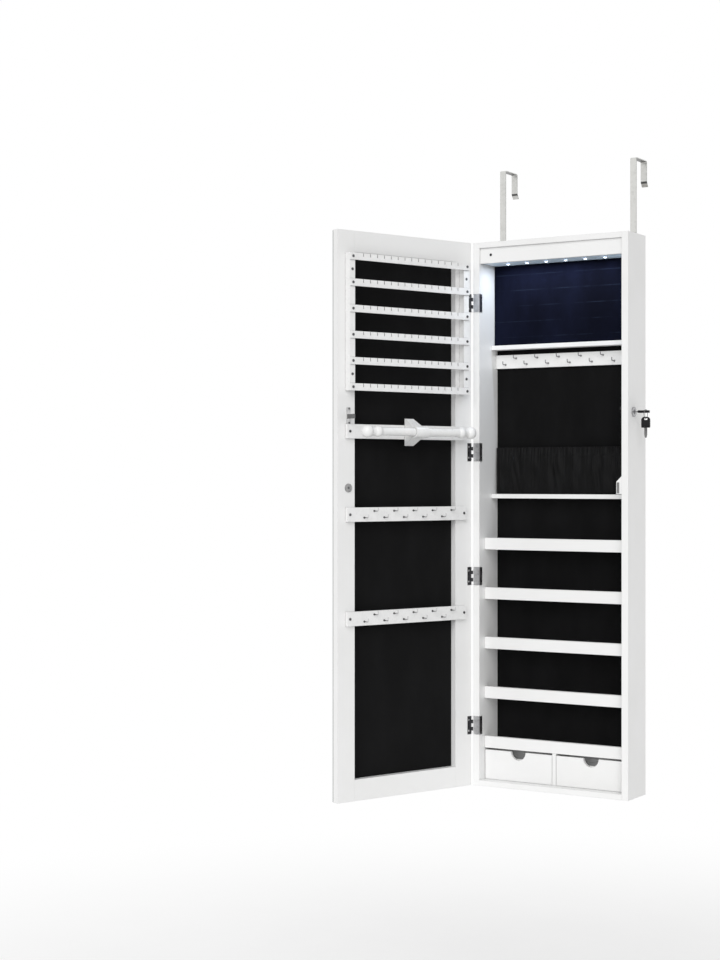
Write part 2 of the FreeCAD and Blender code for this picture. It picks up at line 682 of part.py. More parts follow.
def lamps():
    """The lamp housing with its lamps, circuit board, sensor and battery box, and the rail behind it."""
    inside = (f"-{INNER}", INNER)
    fascia_front = "(-depth + fascia_set_back)"
    sensor_level = "height - sensor_drop"
    fascia = prism(
        "fascia", "front", rectangle(inside, (FASCIA_FOOT, CEILING)), fascia_front, FASCIA_BACK
    )
    drill(
        fascia,
        "front",
        [("-sensor_side", sensor_level, "sensor_radius + sensor_play")],
        fascia_front,
        FASCIA_BACK,
    )
    node(fascia, "light_fascia")
    soffit_top = f"({FASCIA_FOOT} + soffit_board)"
    soffit = prism("soffit", "top", rectangle(inside, (FASCIA_BACK, UPPER_FACE)), FASCIA_FOOT, soffit_top)
    lamp_places = [f"{index - (LAMPS - 1) / 2} * lamp_pitch" for index in range(LAMPS)]
    lamp_holes = [(x, LAMP_LINE, "lens_radius + lens_play") for x in lamp_places]
    drill(soffit, "top", lamp_holes, FASCIA_FOOT, soffit_top)
    node(soffit, "light_soffit")
    reach = f"({(LAMPS - 1) / 2} * lamp_pitch + strip_margin)"
    board(
        "light_board",
        (f"-{reach}", reach),
        (f"{LAMP_LINE} - strip_width / 2", f"{LAMP_LINE} + strip_width / 2"),
        (soffit_top, f"{soffit_top} + strip_sheet"),
    )
    lens = turned(
        "lens",
        "Z",
        [
            ("soffit_board", "0"),
            ("-lens_drop", "0"),
            ("-lens_drop", "lens_radius", "lens_round"),
            ("soffit_board", "lens_radius"),
        ],
    )
    group("light_lenses", copies("lens", lens, [(x, LAMP_LINE, FASCIA_FOOT) for x in lamp_places]))
    sensor = turned(
        "sensor",
        "Y",
        [
            ("fascia_board", "0"),
            ("-sensor_proud", "0"),
            ("-sensor_proud", "sensor_radius", "sensor_proud"),
            ("fascia_board", "sensor_radius"),
        ],
    )
    node(place(sensor, "-sensor_side", fascia_front, sensor_level), "door_sensor")
    board(
        "battery_box",
        ("battery_box_side", "battery_box_side + battery_box_length"),
        (f"{UPPER_FACE} - battery_box_depth", UPPER_FACE),
        (soffit_top, f"{soffit_top} + battery_box_height"),
    )
    board(
        "upper_lining_panel",
        inside,
        (UPPER_FACE, UPPER_BACK),
        ("upper_shelf_level + shelf_board", CEILING),
    )
    rail = prism(
        "rear_rail",
        "front",
        rectangle(inside, (f"{CEILING} - hanging_rail_height", CEILING)),
        UPPER_BACK,
        LINING_FACE,
    )
    rail_low = f"{LINING_FACE} - strap_screw_length"
    drill(rail, "front", strap_holes(), rail_low, LINING_FACE)
    node(rail, "hanging_rail")


def hook(label, way):
    """An L-shaped screw hook: its wire runs out of the rail along Y, bends and rises; way is its side."""
    body = doc.addObject("PartDesign::Body", label)
    path = sketch_on(body, "side", 0)
    root = FreeCAD.Vector(-way * value("hook_root"), 0, 0)
    bend_start = FreeCAD.Vector(way * value("hook_reach - hook_bend"), 0, 0)
    bend_end = FreeCAD.Vector(way * value("hook_reach"), value("hook_bend"), 0)
    tip = FreeCAD.Vector(way * value("hook_reach"), value("hook_rise"), 0)
    bend, left = corner_arc(bend_start, bend_end, value("hook_bend"), root)
    path.addGeometry([Part.LineSegment(root, bend_start), bend, Part.LineSegment(bend_end, tip)], False)
    start, end = (1, 2) if left else (2, 1)
    path.addConstraint(Sketcher.Constraint("Coincident", 0, 2, 1, start))
    path.addConstraint(Sketcher.Constraint("Coincident", 1, end, 2, 1))
    marks = (
        (0, 1, f"{-way} * hook_root", "0"),
        (1, start, f"{way} * (hook_reach - hook_bend)", "0"),
        (2, 1, f"{way} * hook_reach", "hook_bend"),
        (2, 2, f"{way} * hook_reach", "hook_rise"),
    )
    for side, end_point, y, z in marks:
        bind(path, Sketcher.Constraint("DistanceX", -1, 1, side, end_point, value(y)), y)
        bind(path, Sketcher.Constraint("DistanceY", -1, 1, side, end_point, value(z)), z)
    bind(path, Sketcher.Constraint("Radius", 1, value("hook_bend")), "hook_bend")
    section = sketch_on(body, "front", f"{-way} * hook_root")
    circle(section, "0", "0", "hook_wire")
    pipe = body.newObject("PartDesign::AdditivePipe", f"{label}_wire")
    pipe.Profile = section
    pipe.Spine = (path, ["Edge1", "Edge2", "Edge3"])
    collar = sketch_on(body, "front", "hook_collar_sheet" if way > 0 else "0")
    circle(collar, "0", "0", "hook_collar")
    disc = body.newObject("PartDesign::Pad", f"{label}_collar")
    disc.Profile = collar
    disc.setExpression("Length", bound("hook_collar_sheet"))
    return body


def hook_places(count, pitch, middle, level):
    """Hook places along a rail, with every other hook in the lower row."""
    rows = ("hook_row_low", "hook_row_high")
    return [
        (f"{middle} + {index - (count - 1) / 2} * {pitch}", f"({level}) + {rows[index % 2]}")
        for index in range(count)
    ]


def necklace_rail():
    """The rail of hooks under the upper shelf."""
    face = f"({LINING_FACE} - inner_rail_board)"
    places = hook_places(NECKLACE_HOOKS, "inner_hook_pitch", "0", "inner_rail_level")
    levels = ("inner_rail_level", "inner_rail_level + rail_height")
    rail = prism("inner_rail", "front", rectangle((f"-{INNER}", INNER), levels), face, LINING_FACE)
    holes = [(x, z, "hook_wire + hook_play") for x, z in places]
    drill(rail, "front", holes, face, f"{face} + hook_root")
    node(rail, "necklace_hook_rail")
    original = hook("inner_hook", -1)
    group("necklace_hooks", copies("inner_hook", original, [(x, face, z) for x, z in places]))


def pouch_wire(level, stand_off, fold):
    """A closed plan of the pouch cloth: arcs to and fro along the front, and again along the back."""
    half = value(f"{INNER} - soft_gap")
    line = value(LINING_FACE) - stand_off
    step = half / POUCH_FOLDS
    edges = []
    for face, order in ((-0.5, range(2 * POUCH_FOLDS)), (0.5, reversed(range(2 * POUCH_FOLDS)))):
        y = line + face * value("pouch_cloth")
        for index in order:
            start = FreeCAD.Vector(-half + index * step, y, level)
            end = FreeCAD.Vector(-half + (index + 1) * step, y, level)
            crest = (start + end) / 2 + FreeCAD.Vector(0, fold if index % 2 else -fold, 0)
            if face > 0:
                start, end = end, start
            edges.append(Part.Arc(start, crest, end).toShape())
    first, last = edges[2 * POUCH_FOLDS - 1], edges[2 * POUCH_FOLDS]
    right = Part.LineSegment(first.valueAt(first.LastParameter), last.valueAt(last.FirstParameter)).toShape()
    left = Part.LineSegment(
        edges[-1].valueAt(edges[-1].LastParameter), edges[0].valueAt(edges[0].FirstParameter)
    ).toShape()
    return Part.Wire(edges[: 2 * POUCH_FOLDS] + [right] + edges[2 * POUCH_FOLDS :] + [left])


def pouch():
    """The gathered cloth pouch: deep gathers at the elastic top, shallow ones at the foot."""
    foot = value("middle_shelf_level + shelf_board + soft_gap")
    tall = value("pouch_height")
    deep = value("pouch_depth")
    fold = value("pouch_fold")
    middle = deep + value("pouch_bulge")
    wires = [
        pouch_wire(foot, deep, fold / 3),
        pouch_wire(foot + tall / 2, middle, fold / 2),
        pouch_wire(foot + tall, deep, fold),
    ]
    item = doc.addObject("Part::Feature", "pouch")
    item.Shape = Part.makeLoft(wires, True, True)
    node(item, "necklace_pouch")


def drawer(side, name):
    """A drawer: its front with a finger notch, its box and the felt inside."""
    low_x, high_x = ("divider_board / 2 + drawer_play", f"{INNER} - drawer_play")
    ends = (low_x, high_x) if side > 0 else (f"-({high_x})", f"-({low_x})")
    middle = f"({ends[0]} + {ends[1]}) / 2"
    back = f"({DRAWER_FACE} + drawer_front_board)"
    top = f"({DRAWER_FOOT} + drawer_front_height)"
    front = prism(f"{name}_face", "front", rectangle(ends, (DRAWER_FOOT, top)), DRAWER_FACE, back)
    drill(front, "front", [(middle, top, "finger_radius")], DRAWER_FACE, back)
    node(front, f"{name}_front")
    outer_x = (f"({ends[0]} + drawer_box_play)", f"({ends[1]} - drawer_box_play)")
    outer_y = (back, f"({LINING_FACE} - drawer_back_gap)")
    box_top = f"({DRAWER_FOOT} + drawer_box_height)"
    wall = "drawer_wall"
    floor = f"({DRAWER_FOOT} + {wall})"
    tray = prism(f"{name}_tray", "top", rectangle(outer_x, outer_y), DRAWER_FOOT, box_top)
    inner_x = (f"({outer_x[0]} + {wall})", f"({outer_x[1]} - {wall})")
    inner_y = (f"({outer_y[0]} + {wall})", f"({outer_y[1]} - {wall})")
    cut_out(tray, "top", rectangle(inner_x, inner_y), floor, box_top)
    node(tray, f"{name}_box")
    felt_x = (f"({inner_x[0]} + felt_play)", f"({inner_x[1]} - felt_play)")
    felt_y = (f"({inner_y[0]} + felt_play)", f"({inner_y[1]} - felt_play)")
    felt_low = f"({floor} + felt_play)"
    felt = prism(f"{name}_lining", "top", rectangle(felt_x, felt_y), felt_low, box_top)
    hollow_x = (f"{felt_x[0]} + felt_sheet", f"{felt_x[1]} - felt_sheet")
    hollow_y = (f"{felt_y[0]} + felt_sheet", f"{felt_y[1]} - felt_sheet")
    cut_out(felt, "top", rectangle(hollow_x, hollow_y), f"{felt_low} + felt_sheet", box_top)
    node(felt, f"{name}_felt")


def catch():
    """The magnetic catch on the right side panel."""
    front = f"({PIN_Y} + {DOOR_FACE} + plate_sheet + catch_air)"
    top = "(catch_level + catch_height)"
    corners = [
        (f"{INNER} - catch_width", "catch_level"),
        (INNER, "catch_level"),
        (INNER, top),
        (f"{INNER} - catch_width", f"{top} - catch_slant"),
    ]
    body = prism("catch_case", "front", corners, front, f"{front} + catch_length")
    middle = f"{INNER} - catch_width + magnet_wall + magnet_width / 2"
    tall = ("magnet_height / 2", "magnet_width / 2", "magnet_length")
    hole = rectangle(
        (f"{middle} - {tall[1]} - magnet_play", f"{middle} + {tall[1]} + magnet_play"),
        (f"{PLATE_HEIGHT} - {tall[0]} - magnet_play", f"{PLATE_HEIGHT} + {tall[0]} + magnet_play"),
    )
    cut_out(body, "front", hole, front, f"{front} + {tall[2]}")
    node(body, "catch_body")
    board(
        "catch_magnet",
        (f"{middle} - {tall[1]}", f"{middle} + {tall[1]}"),
        (front, f"{front} + {tall[2]}"),
        (f"{PLATE_HEIGHT} - {tall[0]}", f"{PLATE_HEIGHT} + {tall[0]}"),
    )


def lock():
    """The cam lock in the right side panel: barrel, nut, plug and cam, drawn from the lock's axis."""
    tail = f"({INNER} - nut_sheet - barrel_tail)"
    flange = "(width / 2 + flange_sheet)"
    bore = "(plug_radius + running_fit)"
    barrel = turned(
        "barrel",
        "X",
        [
            (tail, bore),
            (flange, bore),
            (flange, "flange_radius"),
            ("width / 2", "flange_radius"),
            ("width / 2", "barrel_radius"),
            (tail, "barrel_radius"),
        ],
    )
    node(place(barrel, "0", LOCK_LINE, "lock_height"), "lock_barrel")
    nut_face = f"{INNER} - nut_sheet"
    hole = "barrel_radius + barrel_play"
    nut = turned(
        "nut",
        "X",
        [(nut_face, hole), (INNER, hole), (INNER, "nut_radius"), (nut_face, "nut_radius")],
    )
    node(place(nut, "0", LOCK_LINE, "lock_height"), "lock_nut")
    cam_face = f"({tail} - cam_gap)"
    cam_back = f"({cam_face} - cam_sheet)"
    plug = turned(
        "plug_turning",
        "X",
        [(cam_face, "0"), (flange, "0"), (flange, "plug_radius"), (cam_face, "plug_radius")],
    )
    half_way = ("blade_width / 2 + blade_play", "blade_sheet / 2 + blade_play")
    keyway = rectangle((f"-({half_way[0]})", half_way[0]), (f"-({half_way[1]})", half_way[1]))
    cut_out(plug, "side", keyway, f"{flange} - blade_length + key_neck - blade_play", flange)
    stub = "stub_size / 2"
    square = rectangle((f"-{stub}", stub), (f"-{stub}", stub))
    end = sketch_on(plug, "side", cam_back)
    outline(end, square)
    pad = plug.newObject("PartDesign::Pad", "plug_stub")
    pad.Profile = end
    pad.setExpression("Length", bound("cam_sheet"))
    node(place(plug, "0", LOCK_LINE, "lock_height"), "lock_plug")
    hub = rod("cam_hub_disc", "X", cam_back, "0", "0", "cam_sheet", "cam_hub")
    arm = block(
        "cam_arm", (cam_back, cam_face), ("-cam_reach", "cam_tail"), ("cam_hook_low", "cam_hook_high")
    )
    socket = f"({stub} + stub_play)"
    hole = block(
        "cam_socket", (cam_back, cam_face), (f"-{socket}", socket), (f"-{socket}", socket)
    )
    cam = without("cam", joined("cam_blank", [hub, arm]), [hole])
    node(place(cam, "0", LOCK_LINE, "lock_height"), "lock_cam")


def bow(name, plane, across, start):
    """A key bow: a rounded plate with a ring slot near its end and a slot for the blade in its foot."""
    half = "(bow_width / 2)"
    end = f"({start} + bow_length)"
    slot_high = f"({end} - bow_rim)"
    slot_low = f"({slot_high} - bow_slot_height)"
    slot_half = "(bow_slot_width / 2)"
    shape = [
        (start, f"-{half}", "bow_shoulder"),
        (end, f"-{half}", "bow_crown"),
        (end, half, "bow_crown"),
        (start, half, "bow_shoulder"),
    ]
    slot = [
        (slot_low, f"-{slot_half}", "bow_slot_round"),
        (slot_high, f"-{slot_half}", "bow_slot_round"),
        (slot_high, slot_half, "bow_slot_round"),
        (slot_low, slot_half, "bow_slot_round"),
    ]
    seat_half = "(blade_width / 2 + blade_play)"
    seat = rectangle((start, f"{start} + blade_root + blade_play"), (f"-{seat_half}", seat_half))
    turn = (lambda c: (f"{across} + {c[1]}", *c[:1], *c[2:])) if plane == "front" else (lambda c: c)
    sheet_half = "bow_sheet / 2"
    body = prism(name, plane, [turn(c) for c in shape], f"-{sheet_half}", sheet_half)
    cut_out(body, plane, [turn(c) for c in slot], f"-{sheet_half}", sheet_half)
    seat_depth = "blade_sheet / 2 + blade_play"
    cut_out(body, plane, [turn(c) for c in seat], f"-({seat_depth})", seat_depth)
    return body


def blade(name, plane, across, root, way):
    """A key blade that narrows to its tip; way is the direction of the tip."""
    end = f"({root} + {way} * (blade_root + blade_length))"
    neck = f"({end} - {way} * blade_width)"
    half = "(blade_width / 2)"
    shape = [(root, f"-{half}"), (neck, f"-{half}"), (end, "-blade_tip")]
    shape += [(end, "blade_tip"), (neck, half), (root, half)]
    turn = (lambda c: (f"{across} + {c[1]}", c[0])) if plane == "front" else (lambda c: c)
    return prism(name, plane, [turn(c) for c in shape], "-blade_sheet / 2", "blade_sheet / 2")


def keys():
    """The key in the lock, lying flat, and the spare key that hangs from its ring."""
    start = "(width / 2 + flange_sheet + key_neck)"
    inserted = bow("inserted_bow", "top", "0", start)
    node(place(inserted, "0", LOCK_LINE, "lock_height"), "key_bow")
    inserted_blade = blade("inserted_blade", "top", "0", f"({start} + blade_root)", -1)
    node(place(inserted_blade, "0", LOCK_LINE, "lock_height"), "key_blade")
    pivot_y = f"({LOCK_LINE} - (bow_width + bow_slot_width) / 4)"
    ring_x = f"({start} + bow_length - bow_rim - bow_slot_height / 2)"
    ring = doc.addObject("Part::Torus", "ring")
    ring.Placement = FreeCAD.Placement(FreeCAD.Vector(), ROTATIONS["X"])
    ring.setExpression("Radius1", bound("ring_radius"))
    ring.setExpression("Radius2", bound("ring_wire"))
    node(place(ring, ring_x, pivot_y, f"lock_height - {RING_DROP}"), "key_ring")
    foot = f"(lock_height - {BOW_DROP} - bow_length)"
    spare = bow("hanging_bow", "front", ring_x, foot)
    node(place(spare, "0", pivot_y, "0"), "spare_key_bow")
    spare_blade = blade("hanging_blade", "front", ring_x, f"({foot} + blade_root)", -1)
    node(place(spare_blade, "0", pivot_y, "0"), "spare_key_blade")


def straps():
    """The two over-door straps and the screws that hold them to the rear rail."""
    near = "(-back_recess + strap_sheet)"
    far = f"({near} + strap_span)"
    under = "(strap_top - strap_sheet)"
    leg = "(strap_top - strap_drop)"
    outer = f"({far} + strap_sheet)"
    lip_y = f"({far} + lip_length * sin(lip_angle))"
    lip_z = f"({leg} - lip_length * cos(lip_angle))"
    bend = "strap_bend"
    outer_bend = "strap_bend + strap_sheet"
    side = [
        ("-back_recess", "strap_tail"),
        (near, "strap_tail"),
        (near, under, bend),
        (far, under, bend),
        (far, leg),
        (lip_y, lip_z),
        (f"{lip_y} + strap_sheet * cos(lip_angle)", f"{lip_z} + strap_sheet * sin(lip_angle)"),
        (outer, f"{leg} + strap_sheet * tan(lip_angle / 2)"),
        (outer, "strap_top", outer_bend),
        ("-back_recess", "strap_top", outer_bend),
    ]
    strips = []
    for index, way in enumerate((-1, 1)):
        low = f"{way} * strap_side - strap_width / 2"
        strip = prism(f"strip_{index}", "side", side, low, f"{low} + strap_width")
        sinks = [
            taper("strap_sink", "Y", x, "-back_recess", z, "strap_sheet",
                  "strap_screw_shank + screw_play", "strap_screw_head + screw_play")
            for x, z in strap_screw_places()
        ]
        strips.append(without(f"strap_{index}", strip, sinks))
    group("hanging_straps", strips)
    screw = turned(
        "strap_screw",
        "Y",
        [
            ("0", "0"),
            ("0", "strap_screw_head"),
            ("-strap_sheet", "strap_screw_shank"),
            ("-strap_screw_length", "strap_screw_shank"),
            ("-strap_screw_length", "0"),
        ],
    )
    group("strap_screws", copies("strap_screw", screw, [(x, near, z) for x, z in strap_screw_places()]))


def knuckles(name, numbers):
    """Some of a hinge's knuckles, with the tongue that joins each to its leaf's plane."""
    step = f"(hinge_length / {KNUCKLES})"
    spans = []
    for number in numbers:
        low = f"(-hinge_length / 2 + {number} * {step} + knuckle_play)"
        high = f"(-hinge_length / 2 + {number + 1} * {step} - knuckle_play)"
        spans.append((low, high))
    rods = [rod(name, "Z", "0", "0", low, f"{high} - {low}", "knuckle_radius") for low, high in spans]
    return rods, spans


def hinges():
    """Four butt hinges: wrapped cabinet leaves, flat door leaves, pins and countersunk screws."""
    start = "(knuckle_radius + knuckle_air)"
    half = ("-hinge_length / 2", "hinge_length / 2")
    inner_face = "(pin_offset + side_board)"
    cabinet_plane = ("(door_gap / 2 - leaf_sheet)", "(door_gap / 2)")
    door_plane = (DOOR_FACE, f"({DOOR_FACE} + leaf_sheet)")
    bore = rod("hinge_bore", "Z", "0", "0", half[0], "hinge_length", "pin_radius + running_fit")
    rods, spans = knuckles("cabinet_knuckle", range(0, KNUCKLES, 2))
    plates = [block("cabinet_tongue", ("0", start), cabinet_plane, span) for span in spans]
    plates.append(block("cabinet_plate", (start, f"{inner_face} + leaf_sheet"), cabinet_plane, half))
    plates.append(
        block(
            "cabinet_return",
            (inner_face, f"{inner_face} + leaf_sheet"),
            (cabinet_plane[0], "door_gap / 2 + leaf_return"),
            half,
        )
    )
    hole = ("flat_shank + screw_play", "flat_head + screw_play")
    sinks = [
        taper("cabinet_sink", "X", inner_face, "door_gap / 2 + leaf_screw_side", rise, "leaf_sheet", *hole)
        for rise in LEAF_SCREWS
    ]
    cabinet_leaf = without("cabinet_leaf", joined("cabinet_leaf_blank", rods + plates), [bore, *sinks])
    rods, spans = knuckles("door_knuckle", range(1, KNUCKLES, 2))
    plates = [block("door_tongue", ("0", start), door_plane, span) for span in spans]
    plates.append(block("door_plate", (start, "pin_offset + leaf_width"), door_plane, half))
    sinks = [
        taper("door_sink", "Y", "pin_offset + leaf_screw_side", DOOR_FACE, rise, "leaf_sheet", *hole)
        for rise in LEAF_SCREWS
    ]
    door_bore = rod("door_bore", "Z", "0", "0", half[0], "hinge_length", "pin_radius + running_fit")
    door_leaf = without("door_leaf", joined("door_leaf_blank", rods + plates), [door_bore, *sinks])
    pin = rod("hinge_pin", "Z", "0", "0", "0", "hinge_length", "pin_radius")
    on_cabinet = [(PIN_X, PIN_Y, level) for level in HINGES]
    group("hinge_cabinet_leaves", copies("cabinet_leaf", cabinet_leaf, on_cabinet))
    pin_places = [(PIN_X, PIN_Y, f"{level} - hinge_length / 2") for level in HINGES]
    group("hinge_pins", copies("hinge_pin", pin, pin_places))
    group("hinge_door_leaves", copies("door_leaf", door_leaf, [("0", "0", level) for level in HINGES]))
    hang(nodes[-1])
    flat = [
        ("0", "0"),
        ("0", "flat_head"),
        ("-leaf_sheet", "flat_shank"),
        ("-flat_length", "flat_shank"),
        ("-flat_length", "0"),
    ]
    side_screw = turned("side_screw", "X", flat)
    side_places = [
        (f"-{INNER} + leaf_sheet", "-depth + leaf_screw_side", f"({level}) + ({rise})")
        for level in HINGES
        for rise in LEAF_SCREWS
    ]
    group("hinge_cabinet_screws", copies("side_screw", side_screw, side_places))
    stile_screw = turned("stile_screw", "Y", flat)
    stile_places = [
        ("pin_offset + leaf_screw_side", f"{DOOR_FACE} + leaf_sheet", f"({level}) + ({rise})")
        for level in HINGES
        for rise in LEAF_SCREWS
    ]
    group("hinge_door_screws", copies("stile_screw", stile_screw, stile_places))
    hang(nodes[-1])
    return stile_screw


def door_frame():
    """The door: stiles, rails, mirror and lining."""
    whole = ("0", "height")
    deep = (FRAME_BACK, DOOR_FACE)
    hinge_edge = ("pin_offset", "(pin_offset + frame_width)")
    free_edge = (f"({FREE_EDGE} - frame_width)", FREE_EDGE)
    flat = "flat_shank + screw_play"
    pan = "pan_shank + screw_play"
    levels = BRACKET_SCREWS + RAIL_SCREW_LEVELS
    leaf_holes = [
        ("pin_offset + leaf_screw_side", f"({level}) + ({rise})", flat)
        for level in HINGES
        for rise in LEAF_SCREWS
    ]
    hinge_stile = prism("hinge_stile", "front", rectangle(hinge_edge, whole), *deep)
    drill(hinge_stile, "front", leaf_holes, f"{DOOR_FACE} - flat_length", DOOR_FACE)
    free_stile = prism("free_stile", "front", rectangle(free_edge, whole), *deep)
    flat_holes = [(f"{STRIKE_TAB} - strike_screw_side", level, flat) for level in STRIKE_SCREWS]
    flat_holes.append((PLATE_PLACE, PLATE_HEIGHT, flat))
    drill(free_stile, "front", flat_holes, f"{DOOR_FACE} - flat_length", DOOR_FACE)
    for stile, across in zip((hinge_stile, free_stile), FITTING_SCREWS):
        fitting_holes = [(across, level, pan) for level in levels]
        drill(stile, "front", fitting_holes, f"{DOOR_FACE} - pan_grip", DOOR_FACE)
    group("door_stiles", [hinge_stile, free_stile])
    hang(nodes[-1])
    between = (hinge_edge[1], free_edge[0])
    rails = [
        block("foot_rail", between, deep, ("0", "frame_width")),
        block("head_rail", between, deep, ("height - frame_width", "height")),
    ]
    group("door_rails", rails)
    hang(nodes[-1])
    inset = "mirror_inset"
    door_board(
        "mirror_glass",
        (f"pin_offset + {inset}", f"{FREE_EDGE} - {inset}"),
        (f"{FRAME_BACK} - mirror_sheet", FRAME_BACK),
        (inset, f"height - {inset}"),
    )
    play = "door_lining_play"
    door_board(
        "door_lining",
        (f"{between[0]} + {play}", f"{between[1]} - {play}"),
        (FRAME_BACK, f"{FRAME_BACK} + door_lining_sheet"),
        (f"frame_width + {play}", f"height - frame_width - {play}"),
    )


def earring_rack():
    """Two brackets with six slotted bars."""
    pan = "pan_shank + screw_play"
    levels = [
        f"(earring_top - {index} * earring_pitch - earring_bar_height)" for index in range(EARRING_BARS)
    ]
    brackets = []
    sides = (
        (FITTING_START, f"{FITTING_START} + bracket_width"),
        (f"{FITTING_END} - bracket_width", FITTING_END),
    )
    for index, (ends, across) in enumerate(zip(sides, FITTING_SCREWS)):
        bracket = prism(
            f"bracket_{index}",
            "front",
            rectangle(ends, (RACK_FOOT, "earring_top")),
            DOOR_FACE,
            BRACKET_FACE,
        )
        drill(bracket, "front", [(across, level, pan) for level in BRACKET_SCREWS], DOOR_FACE, BRACKET_FACE)
        bar_holes = [(across, f"{level} + earring_bar_height / 2", pan) for level in levels]
        drill(bracket, "front", bar_holes, f"{BRACKET_FACE} - pan_grip", BRACKET_FACE)
        brackets.append(bracket)
    group("earring_brackets", brackets)
    hang(nodes[-1])
    bar_face = f"{BRACKET_FACE} + earring_bar_sheet"
    span = (FITTING_START, FITTING_END)
    bar = prism(
        "bar", "front", rectangle(span, ("0", "earring_bar_height")), BRACKET_FACE, bar_face
    )
    bar_holes = [(x, "earring_bar_height / 2", pan) for x in FITTING_SCREWS]
    drill(bar, "front", bar_holes, BRACKET_FACE, bar_face)
    slots = sketch_on(bar, "front", BRACKET_FACE)
    for index in range(EARRING_SLOTS):
        middle = f"{DOOR_MIDDLE} + {index - (EARRING_SLOTS - 1) / 2} * slot_pitch"
        outline(
            slots,
            rectangle(
                (f"{middle} - slot_width / 2", f"{middle} + slot_width / 2"),
                ("earring_bar_height - slot_depth", "earring_bar_height"),
            ),
        )
    pocket(bar, slots, BRACKET_FACE, bar_face)
    group("earring_bars", copies("bar", bar, [("0", "0", level) for level in levels]))
    hang(nodes[-1])


def bracelet_holder():
    """The bracelet rail, the flared support on it and the beaded bar."""
    pan = "pan_shank + screw_play"
    middle_level = "(bracelet_level + rail_height / 2)"
    span = (FITTING_START, FITTING_END)
    rail = prism(
        "bracelet_strip",
        "front",
        rectangle(span, ("bracelet_level", "bracelet_level + rail_height")),
        DOOR_FACE,
        RAIL_FACE,
    )
    drill(rail, "front", [(x, middle_level, pan) for x in FITTING_SCREWS], DOOR_FACE, RAIL_FACE)
    node(hang(rail), "bracelet_rail")
    axis_line = f"({DOOR_FACE} + bracelet_stand_off)"
    foot_face = f"({RAIL_FACE} + support_foot)"
    support = prism(
        "support_flare",
        "front",
        rectangle(
            (f"{DOOR_MIDDLE} - support_width / 2", f"{DOOR_MIDDLE} + support_width / 2"),
            (f"{middle_level} - support_height / 2", f"{middle_level} + support_height / 2"),
        ),
        RAIL_FACE,
        foot_face,
    )
    sections = []
    for level, wide, tall in (
        (foot_face, "support_width", "support_height"),
        (axis_line, "sleeve_length - support_foot", "sleeve_radius"),
    ):
        section = sketch_on(support, "front", level)
        outline(
            section,
            rectangle(
                (f"{DOOR_MIDDLE} - ({wide}) / 2", f"{DOOR_MIDDLE} + ({wide}) / 2"),
                (f"{middle_level} - ({tall}) / 2", f"{middle_level} + ({tall}) / 2"),
            ),
        )
        sections.append(section)
    flare = support.newObject("PartDesign::AdditiveLoft", "support_loft")
    flare.Profile = sections[0]
    flare.Sections = [sections[1]]
    flare.Ruled = True
    sleeve_start = f"{DOOR_MIDDLE} - sleeve_length / 2"
    sleeve = rod("sleeve", "X", sleeve_start, axis_line, middle_level, "sleeve_length", "sleeve_radius")
    hole = rod(
        "sleeve_hole",
        "X",
        sleeve_start,
        axis_line,
        middle_level,
        "sleeve_length",
        "bracelet_radius + sleeve_play",
    )
    holder = without("bracelet_stand", joined("support_blank", [support, sleeve]), [hole])
    node(hang(holder), "bracelet_support")
    first = "(pin_offset + bead_inset)"
    last = f"({FREE_EDGE} - bead_inset)"
    thin = "bracelet_radius"
    end_half = f"sqrt(bead_radius * bead_radius - {thin} * {thin})"
    collar_half = f"sqrt(collar_radius * collar_radius - {thin} * {thin})"
    near, far = f"({first} + bead_spacing)", f"({last} - bead_spacing)"
    profile = [
        (f"{first} - bead_radius", "0", None),
        (f"{first} + {end_half}", thin, "bead_radius"),
        (f"{near} - {collar_half}", thin, None),
        (f"{near} + {collar_half}", thin, "collar_radius"),
        (f"{far} - {collar_half}", thin, None),
        (f"{far} + {collar_half}", thin, "collar_radius"),
        (f"{last} - {end_half}", thin, None),
        (f"{last} + bead_radius", "0", "bead_radius"),
    ]
    bar = doc.addObject("PartDesign::Body", "beaded_bar")
    sketch = sketch_on(bar, "top", 0)
    trace(sketch, profile, bead_arc)
    spin = bar.newObject("PartDesign::Revolution", "beaded_bar_spin")
    spin.Profile = sketch
    spin.ReferenceAxis = (sketch, ["H_Axis"])
    spin.Angle = 360
    node(hang(bar, 0, axis_line, middle_level), "bracelet_bar")


def door_hook_rails():
    """The two hook rails on the door."""
    pan = "pan_shank + screw_play"
    strips = []
    spots = []
    for index, level in enumerate(("hook_rail_high", "hook_rail_low")):
        places = hook_places(RAIL_HOOKS, "-door_hook_pitch", DOOR_MIDDLE, level)
        spots += [(x, RAIL_FACE, z) for x, z in places]
        strip = prism(
            f"hook_strip_{index}",
            "front",
            rectangle((FITTING_START, FITTING_END), (level, f"{level} + rail_height")),
            DOOR_FACE,
            RAIL_FACE,
        )
        ends = [(x, f"{level} + rail_height / 2", pan) for x in FITTING_SCREWS]
        drill(strip, "front", ends, DOOR_FACE, RAIL_FACE)
        holes = [(x, z, "hook_wire + hook_play") for x, z in places]
        drill(strip, "front", holes, f"{RAIL_FACE} - hook_root", RAIL_FACE)
        strips.append(strip)
    group("door_hook_rails", strips)
    hang(nodes[-1])
    original = hook("door_hook", 1)
    group("door_hooks", copies("door_hook", original, spots))
    hang(nodes[-1])


def pan_screw(name, grip):
    """A pan-head screw along Y, its head standing on the face at zero."""
    return turned(
        name,
        "Y",
        [
            ("pan_head_sheet", "0"),
            ("pan_head_sheet", "pan_head", "pan_head_round"),
            ("0", "pan_head"),
            ("0", "pan_shank"),
            (f"-({grip})", "pan_shank"),
            (f"-({grip})", "0"),
        ],
    )


